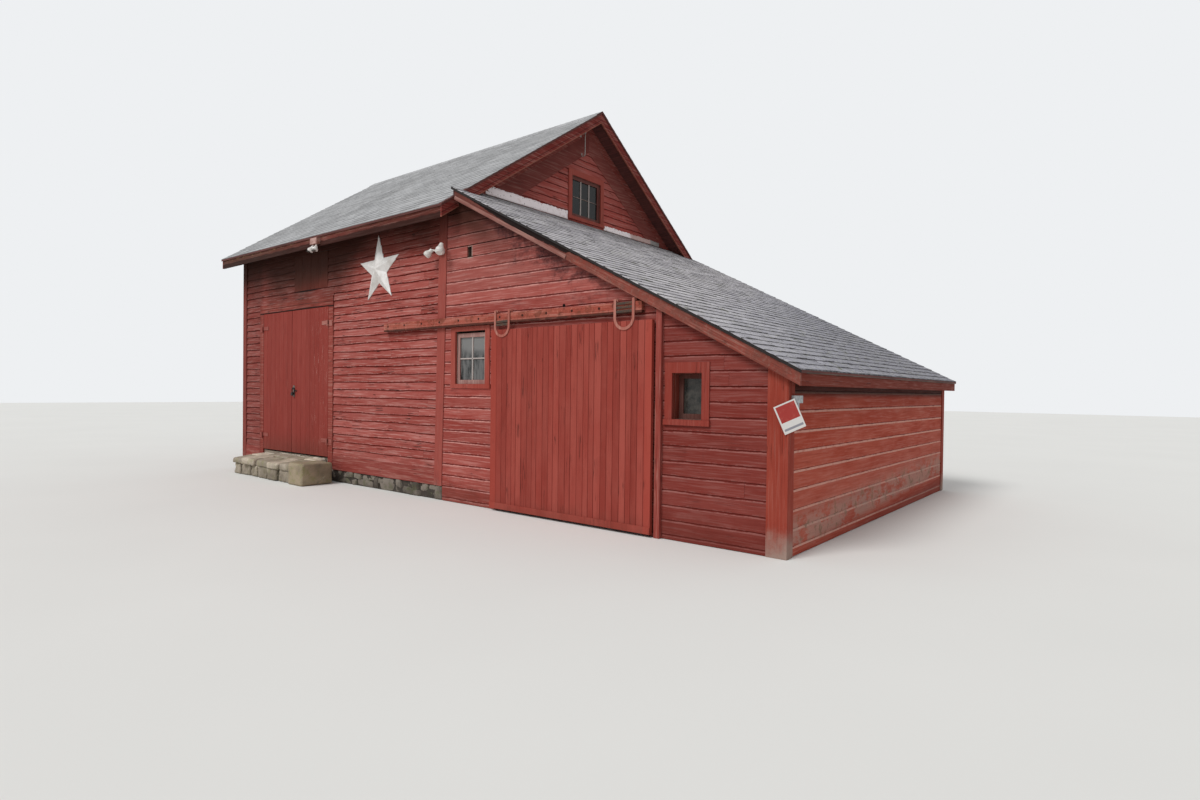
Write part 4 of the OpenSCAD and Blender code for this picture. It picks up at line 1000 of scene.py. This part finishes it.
liners = bar_rings([(x, jamb_y, z0) for x in sides], [(x, jamb_y, z1) for x in sides],
                   liner_deep, liner_thick, (0, 1, 0))
head = bar_rings([(x0, jamb_y, z1 - half)], [(x1, jamb_y, z1 - half)], liner_deep, liner_thick, (0, 1, 0))
jamb_paint = painted("jamb_paint", "z", "7c3529", "884337", "4c231b")
tubes("window_jamb_liners", [liners, head], jamb_paint)

glass = Surface("old_glass")
haze = glass.cloud(4.0, 4.0, 0.6)
colour = mix(haze.ease(0.4, 0.7), "101414", "262b2b")
colour = mix(glass.z.ease(3.9, 4.0, 0.0, 0.7), colour, "060808")
# the upper panes of the side window are milky: dust and a painted reflection
dust_and_painted_reflection = (glass.z + haze * 0.3).ease(1.94, 2.14) * glass.z.ease(2.6, 2.7, 0.85, 0.0)
curtain = glass.cloud(7.0, 5.0, 0.7, (2.4, 1.0, 0.6)).ease(0.36, 0.6, 0.05, 0.6)
curtain = curtain * (glass.x < 8.0) * glass.z.ease(2.6, 2.7, 1.0, 0.0)
colour = mix(reckon("MAXIMUM", dust_and_painted_reflection, curtain), colour, "8f8e8c")
colour = mix((glass.x > 9.0) * glass.cloud(12.0, 4.0, 0.7).ease(0.3, 0.7, 0.1, 0.55), colour, "6d675f")
give(["window_glass"], glass.finish(colour, haze.ease(0.3, 0.7, 0.08, 0.25), haze, clear=0.25, shine=0.22))

# Roof covering: grey three-tab shingles nailed in courses over the deck, newer and lighter on
# the main roof. The lean-to has older, darker ones with lichen, moss and slipped tabs.
roof_grit, given, out = recipe("roof_grit", "colour rough height", v="place down", c="light dark",
                           f="tone edge stain lichen aged joint")
grit, speck = given.place.cloud(240.0, 2.0, 0.7), given.place.cloud(15.0, 6.0, 0.8)
patchy = given.tone * 0.24 + given.place.cloud(1.6, 7.0, 0.72) * 0.8
colour = mix(patchy.ease(0.2, 0.85), given.dark, given.light)
colour = mix(grit.ease(0.35, 0.7, 0.0, 0.35), colour, given.dark)
colour = mix(given.down.cloud(1.0, 5.0, 0.65).ease(0.45, 0.75) * given.stain, colour, "5a5856")
# age: grit has washed off toward the low end, leaving brown-black felt in growing patches
bare = given.aged + (given.place.cloud(3.2, 7.0, 0.78) - 0.5) * 1.1
colour = mix(given.aged.ease(0.35, 0.9, 0.0, 0.5), colour, "b5b6c3")
colour = mix(bare.ease(0.4, 1.0, 0.0, 0.5), colour, "55545a")
colour = mix(speck.ease(0.575, 0.61) * given.lichen * 0.75, colour, "b9b9a8")
colour = mix(given.place.cloud(5.0, 6.0, 0.75).ease(0.57, 0.66) * given.lichen * 0.7, colour, "5b5d3d")
crumbs = given.place.cloud(16.0, 5.0, 0.85) + given.aged * 0.085
colour = mix(crumbs.ease(0.635, 0.655) * given.lichen * 0.8, colour, "33302b")
# dark butts and the shade under the next course, broken here and there
worn = given.place.cloud(8.0, 5.0, 0.75).ease(0.28, 0.6, 0.25, 1.0)
joint = reckon("MAXIMUM", given.edge.ease(0.015, 0.05, 1.0, 0.0), given.edge.ease(0.52, 0.64))
feed(out, {"colour": mix(joint * worn * given.joint, colour, "232120"),
           "rough": grit.ease(0.2, 0.8, 0.95, 0.8), "height": grit + speck * 0.6})


def shingle_stuff(name, light, dark, stain, lichen, down, joint, aged=None):
    """Material of one roof's shingles; down stretches the stains down the slope, and aged
    works out from the place how worn the roof is."""
    at = Surface(name)
    got = stir(at.tree, roof_grit, place=at.place, down=at.place.moved("MULTIPLY", down),
               tone=at.mark("tone"), edge=at.mark("edge"), light=light, dark=dark, stain=stain,
               lichen=lichen, joint=joint, aged=aged(at) if aged else 0.0)
    return at.finish(got.colour, got.rough, got.height, 0.0015, shine=0.2)


def shingle_rings(u_end, v_end, show, wide, top_of, place_on, seed, thick=0.007, jag=0.002, clip=None):
    """Courses of tabs on a slope. u runs across and v up the slope from the eave. Every tab is
    a wedge, thick at its butt and thin where the next course covers it; alternate courses
    are set over by half a tab. top_of(u) is where the covering stops, clip moves tab sides."""
    lap, slot, thinnest, sunk = 0.06, 0.004, 0.0012, -0.001
    courses = np.arange(int(np.ceil(v_end / show)))
    tabs = np.arange(-1, int(u_end / wide) + 2)
    c, t = (one.ravel().astype(float) for one in np.meshgrid(courses, tabs, indexing="ij"))
    off = wide * (0.5 * (c % 2) + 0.06 * waves(c, seed, 5.0))
    u0 = np.clip(t * wide + off + slot, 0, u_end)
    u1 = np.clip((t + 1) * wide + off - slot, 0, u_end)
    if clip is not None:
        u0, u1 = clip(u0, u1, c * show)
    u0, u1, c = (one[u1 - u0 > 0.02] for one in (u0, u1, c))
    r = dice(len(u0), seed)
    v0 = np.where(c == 0, 0.0, c * show + jag * (2 * r - 1))
    v1 = np.minimum((c + 1) * show + lap, np.minimum(top_of((u0 + u1) / 2), v_end))
    u0, u1, v0, v1, r = (one[v1 - v0 > 0.01] for one in (u0, u1, v0, v1, r))
    curl = thick * (0.8 + 0.5 * r)
    top = np.maximum(thinnest, curl * np.clip(1 - (v1 - v0) / (show + lap), 0, 1))
    sunk = 0 * v0 + sunk
    points = [(v0, sunk), (v0, curl), (v0 + (v1 - v0) * 0.72, 0.3 * curl + 0.7 * top), (v1, top), (v1, sunk)]
    rings = np.stack([np.stack([place_on(u, v, h) for v, h in points], 1) for u in (u0, u1)], 1)
    return rings, [0, 0, 0.68, 1, 1]


# lap of the lean-to's roof on this one, and sizes of the shingles
trim, shingle_show, main_tab, lean_tab = 0.055, 0.127, 0.305, 0.235
cos_m, sin_m = math.cos(slope), math.sin(slope)
slope_long = (depth / 2 + over) / cos_m
eave_z = plane_z - pitch * over


def main_slope(way, start):
    """Rule for a slope of the main roof: across, up the slope and out of it make a point."""
    return lambda u, v, h: np.stack([u - over, start + way * v * cos_m, eave_z + v * sin_m + h / cos_m], -1)


# the low tabs end where the roof of the lean-to laps onto the corners of this one
under_lap = (0.0655 + over) / cos_m
trim_lap = lambda u0, u1, v: (u0, np.where(v < under_lap, np.minimum(u1, main_len + 2 * over - trim), u1))
main_stop = lambda u: np.full_like(u, slope_long - 0.013)
main_shingle = shingle_stuff("main_shingle", "bdbdbe", "969697", 0.25, 0.15, (2.2, 0.25, 0.25), 0.5)
main_sides = (("main_front_shingles", 1, -over, 31), ("main_back_shingles", -1, depth + over, 32))
for name, way, start, seed in main_sides:
    tabs = shingle_rings(main_len + 2 * over, slope_long, shingle_show, main_tab, main_stop,
                         main_slope(way, start), seed, clip=trim_lap)
    tubes(name, [tabs], main_shingle)

# Ridge cap: short shingles bent over the ridge and nailed down on both slopes, each lapping
# the one before it.
cap_long, caps = 0.129, 50
butts = np.linspace(-over, main_len + over - cap_long - 0.001, caps)[:, None, None]
aside = np.array([-0.154, -0.15, -0.08, -0.02, 0.0, 0.02, 0.08, 0.15, 0.154])[None, :, None] + 0 * butts
x = butts + cap_long * np.array([0, 0, 1, 1]) + 0 * aside
up = np.array([0.0, 0.019, 0.014, 0.0]) * np.where(np.abs(aside) > 0.152, 0.5, 1.0)
ridge_z = plane_z + pitch * depth / 2
z = np.minimum(ridge_z - pitch * np.abs(aside) + up, ridge_z + 0.0105 + 0.001 * (up > 0.015))
caps = np.stack([x, depth / 2 + aside + 0 * x, z], -1)
tubes("ridge_cap_shingles", [(caps, [0.0, 0.0, 0.45, 0.45])], main_shingle)

# Covering of the lean-to: it laps onto the corners of the main roof, passes under its rake and
# stops at the gable wall.
cos_l, sin_l = math.cos(lean_slope), math.sin(lean_slope)
eave_x, side_over = span_of("lean_roof")[1][0], 0.11


def put_on_lean(u, v, h):
    """A place across the lean-to's roof, up its slope and out of it, as a point."""
    return np.stack([eave_x - v * cos_l, u - side_over, lean_z(eave_x) + v * sin_l + h / cos_l], -1)


def lean_stop(u):
    """How far up the slope the covering goes: to the lap on the main roof at its corners,
    to the main rake beside them, and to the gable wall between."""
    lap_wide, rake_wide = 0.07, 0.42
    y = np.minimum(u - side_over, depth - (u - side_over))
    beside = np.where(y < rake_wide, over + 0.006, 0.024)
    lapped = np.where(y < lap_wide, over - trim + 0.001, beside)
    return (eave_x - main_len - lapped) / cos_l


tabs = shingle_rings(depth + 2 * side_over, (eave_x - main_len) / cos_l, shingle_show, lean_tab, lean_stop,
                     put_on_lean, 35, thick=0.009, jag=0.004)
# weathering grows from the lap on the main roof toward the low eave and the back
lean_age = lambda at: (at.x + at.y * 0.45).ease(6.4, 12.4, -0.12, 1.0)
lean_shingle = shingle_stuff("lean_shingle", "d8d4d6", "a29ea3", 0.15, 1.0, (0.8, 2.0, 0.8), 0.8, lean_age)
tubes("lean_shingles", [tabs], lean_shingle)


def soffit_stuff(name, run):
    """Roof deck and rafters: bare sawn wood inside, dark red paint where it hangs over a wall."""
    at = Surface(name)
    got = stir(at.tree, board_grain, along=grain_along(at.place, run), tone=0.0)
    bare = mix(got.streak.ease(0.3, 0.7), "3d322b", "6a5a4f")
    paint = mix(got.streak.ease(0.3, 0.7), "47231f", "66342e")
    outside = (at.x > main_len - 0.01) * (below_lean(at) < 0.02)
    for beyond in (at.y < 0.01, at.y > depth - 0.01, at.x < 0.01):
        outside = reckon("MAXIMUM", outside, beyond)
    # the front edge of the lean-to's deck is black: rot and the painted shadow of the gap under the shingles
    if run == "y":
        paint = mix(at.y < -0.1085, paint, "1a1311")
    return at.finish(mix(outside, bare, paint), got.streak.ease(0.2, 0.8, 0.95, 0.8), got.streak)


give(["main_roof_front", "main_roof_back"], soffit_stuff("roof_deck", "x"))
give(["lean_roof"], soffit_stuff("lean_roof_deck", "y"))

# Rake boards and fascias: planed boards along the roof edges. A batten nailed on the upper half
# of the lean-to's front rake has weathered pink and ends in a cut; above it the rake is black.
def rake_lines(at, colour):
    """A black band along the top of the main rakes under the shingle edge, the joint of a second
    board under it and a pale line along the lower edge."""
    down, low = below_main(at), span_of("main_rake_boards")[0]
    foot = plane_z + pitch * low[1] - low[2]
    colour = mix(abs(down - foot * 0.68).ease(0.003, 0.008, 0.7, 0.0), colour, "2c1512")
    colour = mix(down.ease(foot - 0.02, foot - 0.012, 0.0, 0.55), colour, "96604f")
    return mix(down.ease(0.012, 0.02, 0.9, 0.0), colour, "1d1311")


give(["main_rake_boards"],
     painted("main_rake_paint", "y", "742c27", "803832", "3f1f1b", fixed=0.4, more=rake_lines))


def fascia_wear_and_shade(at, colour):
    """Fascia of the main eaves: a pale metal drip edge on top, dark red paint that has gone brown
    and dirty toward the left end, crumbs caught under the shingles and painted shade darkening the
    lower part black."""
    down = span_of("main_eave_fascias")[1][2] - at.z
    rough = down + (at.cloud(6.0, 5.0, 0.7, (1.0, 1.0, 0.6)) - 0.5) * 0.05
    colour = mix(at.x.ease(0.2, 4.4, 0.75, 0.0), colour, "4b3429")
    colour = mix(at.x.ease(3.4, 4.4, 0.0, 0.4), colour, "381f17")
    litter = at.cloud(17.0, 5.0, 0.75, (0.5, 1.0, 1.0)).ease(0.52, 0.6) * rough.ease(0.03, 0.06, 0.85, 0.0)
    colour = mix(litter * at.x.ease(2.2, 4.6, 1.0, 0.2), colour, "8a6747")
    # painted shade over the lower part of the fascia
    colour = mix(rough.ease(0.075, 0.1, 0.0, 0.8), colour, "26140f")
    return mix(down.ease(0.009, 0.012, 0.8, 0.0), colour, "a3a294")


give(["main_eave_fascias"],
     painted("eave_fascia_paint", "x", "67302a", "743c33", "3f1e19", fixed=0.5, fade=1.0, more=fascia_wear_and_shade))


def rake_weather_and_gap_shadow(at, colour):
    """A black band along the top of the upper half, thickest in its middle: the rotten edge and
    the painted shadow of the gap under the roof.
    """
    thick = at.x.ease(6.05, 7.1, 0.0, 0.062) - at.x.ease(7.3, 7.9, 0.0, 0.014)
    thick = thick - at.x.ease(7.92, 8.0, 0.0, 0.036) - at.x.ease(8.1, 8.8, 0.0, 0.01)
    torn = (at.cloud(9.0, 5.0, 0.7) - 0.5) * 0.05
    within = thick - (below_lean(at) - 0.028) - torn
    colour = mix(at.cloud(5.0, 5.0, 0.7).ease(0.4, 0.6, 0.0, 0.6), colour, "6d453c")
    colour = mix(at.cloud(23.0, 5.0, 0.7).ease(0.52, 0.64, 0.0, 0.3), colour, "8d7268")
    colour = mix(at.x.ease(7.9, 7.96, 0.6, 0.0), colour, "54302a")
    return mix(within.ease(-0.004, 0.006, 0.0, 0.95), colour, "15100f")


give(["lean_rake_boards"],
     painted("lean_rake_paint", "x", "7f3b31", "8c4a3f", "552a23", fixed=0.5, tilt=-lean_slope,
             more=rake_weather_and_gap_shadow))
give(["lean_eave_fascia"],
     painted("lean_fascia_paint", "y", "702d21", "7a392d", "45201a", fixed=0.5, wear=0.1))
batten_out, batten_down = -0.1, 0.116
high, low = ((x, batten_out, lean_z(x) - batten_down) for x in (6.045, 7.93))
batten = bar_rings([high], [low], 0.046, 0.0095, upright, 24)
batten_paint = painted("batten_paint", "x", "7f4f47", "96716a", "4f352f", tilt=-lean_slope, splits=1.0,
                       fade=1.0)
tubes("lean_rake_batten", [batten], batten_paint)

# Flashing between the lean-to roof and the gable wall: thin white painted sheet with a torn,
# crumpled edge, nailed over the lowest clapboards each side of the window.
lo, hi = span_of("gable_flashing")


def sheet_rings(y0, y1, z1, seed, stations=90):
    """A crumpled strip: a thin section that stands off the wall is carried along it; its upper
    edge is torn by short waves and its face is creased by lumps."""
    x_back, x_front, z0 = main_len + 0.0175, main_len + 0.028, lean_top + 0.002
    y = np.linspace(y0, y1, stations)[:, None]
    t = np.array([0, 0.2, 0.4, 0.6, 0.8, 1.0, 1.0, 0.8, 0.6, 0.4, 0.2, 0])[None]
    outer = np.array([1] * 6 + [0] * 6)[None]
    torn = z1 - 0.016 * (0.5 + 0.5 * waves(y, seed, 0.37)) - 0.006 * (1 + waves(y, seed + 3.3, 0.09))
    z = z0 + (torn - z0) * t
    crease = 0.5 + 0.5 * lumps(np.stack([y + 0 * t, z, 0 * z], -1), 0.12, int(seed))
    x = x_back + 0.0015 + (x_front - x_back - 0.004) * crease * (0.35 + 0.65 * (1 - t)) + 0.002 * outer
    return np.stack([np.clip(x, x_back, x_front), y + 0 * t, z], -1)[None], 1 - t


metal = Surface("white_flashing")
stain = metal.cloud(9.0, 5.0, 0.7)
colour = mix(stain.ease(0.56, 0.72, 0, 0.5), "fbeff0", "cfb3ad")
along = (metal.y + stain * 0.1 - gap[1]) / (hi[1] - gap[1])
colour = mix(along.ease(0.46, 0.52, 0.0, 0.8), colour, "b08a80")
colour = mix(along.ease(0.84, 0.88, 0.0, 0.9), colour, "8b8a88")
colour = mix(metal.cloud(30.0, 3.0).ease(0.6, 0.7, 0, 0.6), colour, "6d5d52")
sheets = [sheet_rings(lo[1], gap[0] - 0.012, hi[2] + 0.012, 5.0),
          sheet_rings(gap[1] + 0.012, hi[1], lean_top + 0.095, 7.0)]
white_metal = metal.finish(colour, 0.55, stain, 0.003)
flashing = tubes("flashing_sheets", sheets, white_metal, smooth=True)
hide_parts("gable_flashing")

# Star on the front wall: pressed from sheet metal in ten folded faces with a thin rim, dull
# and spotted by weather. It hangs a little turned.
star = Surface("star_sheet")
dull = star.cloud(6.0, 5.0, 0.65)
colour = mix(dull.ease(0.4, 0.7), "e2dfdc", "c9c4be")
colour = mix(star.cloud(22.0, 4.0, 0.7).ease(0.6, 0.72, 0, 0.5), colour, "8d7a6c")
give(["wall_star"], star.finish(colour, dull.ease(0.3, 0.7, 0.42, 0.6), dull, 0.001, metal=0.15))

# Lamps: cast aluminium holders with white spotlight bulbs, on the pilaster and under a box
# on the eave fascia.
lamp = Surface("lamp_white")
grime = lamp.cloud(14.0, 4.0, 0.65)
boxed = lamp.z.ease(3.606, 3.61) * lamp.y.ease(-0.29, -0.28, 1.0, 0.0)
rusty = mix(grime.ease(0.4, 0.65), "b58d83", "8d5a4c")
colour = mix(boxed, mix(grime.ease(0.5, 0.75, 0, 0.55), "dcd8d3", "95897d"), rusty)
give(["outdoor_lamps"], lamp.finish(colour, 0.4, grime, 0.001))
bulb_r, rears = 0.033, np.array([(2.983, -0.338, 3.573), (3.087, -0.338, 3.573)])
noses = np.array([(2.953, -0.370, 3.501), (3.097, -0.370, 3.501)])
ways = (noses - rears) / np.linalg.norm(noses - rears, axis=1, keepdims=True)
aside = np.cross(ways, [0.0, 1.0, 0.0])
aside /= np.linalg.norm(aside, axis=1, keepdims=True)
angle = np.linspace(0, 2 * np.pi, 20, endpoint=False)[None, None, :, None]
bulge, wide = np.array([(-0.002, 0.0015, 0.004, 0.005), (1.0, 1.0, 0.7, 0.25)])[:, None, :, None, None]
around = aside[:, None, None] * np.cos(angle) + np.cross(ways, aside)[:, None, None] * np.sin(angle)
lenses = noses[:, None, None] + ways[:, None, None] * bulge + bulb_r * wide * around
bulb = Surface("bulb_glass")
soil = bulb.cloud(60.0, 3.0, 0.6)
bulb_glass = bulb.finish(mix(soil.ease(0.4, 0.7), "35302d", "6d655e"), 0.15, soil, 0.0005)
tubes("lamp_lenses", [(lenses, 0.0)], bulb_glass, smooth=True)

# Outlet box on the end wall: grey cast cover with a flap. The bare plate beside it is a thin
# metal sheet hung by one corner, red above and white below with a grey strip.
give(["outlet_box"], iron("box_grey", "a9adaf", "7d7f80", 0.6, 0.5, 0.3))
plate = Surface("hanging_plate")
scuff = plate.cloud(25.0, 4.0, 0.7)
swing, lean, reach = math.radians(39), math.radians(24), 0.047
pivot = (full_len + 0.0283 + reach * math.cos(swing), -0.028 + reach * math.sin(swing), 1.4069)
own = plate.place.moved("SUBTRACT", tuple(corner + pivot)).turned((0, 0, -swing))
x, _, z = own.turned((0, lean, 0)).parts()
inside = abs(x + 0.1).ease(0.086, 0.088, 1.0, 0.0) * abs(z + 0.13).ease(0.116, 0.118, 1.0, 0.0)
strip = z.ease(-0.218, -0.216, 1.0, 0.0) * z.ease(-0.238, -0.236) * inside
red = mix(scuff.ease(0.5, 0.7, 0, 0.4), "a02a22", "b85a4e")
colour = mix(strip, mix(z.ease(-0.162, -0.16) * inside, "d8d4d0", red), "8c8a92")
give(["hanging_sign"], plate.finish(colour, 0.4, scuff, 0.0006))

# Setting: a plain pale floor, even sky light and one broad soft lamp from the front left.
mesh = bpy.data.meshes.new("ground")
corners = [(x, y, -0.002) for x, y in ((-60, -60), (60, -60), (60, 60), (-60, 60))]
mesh.from_pydata(corners, [], [(0, 1, 2, 3)])
ground = bpy.data.objects.new("ground", mesh)
bpy.context.scene.collection.objects.link(ground)
pale = Surface("pale_floor")
mesh.materials.append(pale.finish(mix(pale.cloud(0.4, 2.0), "dddcd8", "e3e2de"), 0.9))

world = bpy.data.worlds.new("sky")
bpy.context.scene.world = world
world.use_nodes = True
seen = {one.socket.name: one for one in wire(world.node_tree, "LightPath", {}, take=None)}
direct = reckon("MAXIMUM", seen["Is Glossy Ray"], seen["Is Transmission Ray"])
direct = reckon("MAXIMUM", seen["Is Camera Ray"], direct)
feed(world.node_tree.nodes["Background"], {"Color": "eef0f2", "Strength": direct.ease(0.0, 1.0, 0.62, 1.0)})
light = bpy.data.lights.new("soft_sun", "SUN")
light.energy, light.angle = 1.85, math.radians(24)
sun = bpy.data.objects.new("soft_sun", light)
bpy.context.scene.collection.objects.link(sun)
sun.rotation_euler = (math.radians(42), 0, math.radians(-12))

# Camera: fitted to the corners of the barn in the photograph; it looks along the yaw, dips a
# little and is rolled a little.
yaw, dip, roll = math.radians(38.835), math.radians(-0.759), math.radians(0.691)
ahead = np.array([-math.sin(yaw) * math.cos(dip), math.cos(yaw) * math.cos(dip), math.sin(dip)])
level = np.array([math.cos(yaw), math.sin(yaw), 0.0])
upward = np.cross(level, ahead)
aside = level * math.cos(roll) + upward * math.sin(roll)
overhead = -level * math.sin(roll) + upward * math.cos(roll)
lens = bpy.data.cameras.new("camera")
lens.lens, lens.sensor_width, lens.sensor_fit = 20.39, 36.0, "HORIZONTAL"
camera = bpy.data.objects.new("camera", lens)
bpy.context.scene.collection.objects.link(camera)
turn = Matrix([[aside[k], overhead[k], -ahead[k]] for k in range(3)]).to_4x4()
turn.translation = (7.731, -8.321, 1.450)
camera.matrix_world = turn
bpy.context.scene.camera = camera
bpy.context.scene.view_settings.view_transform = "Standard"
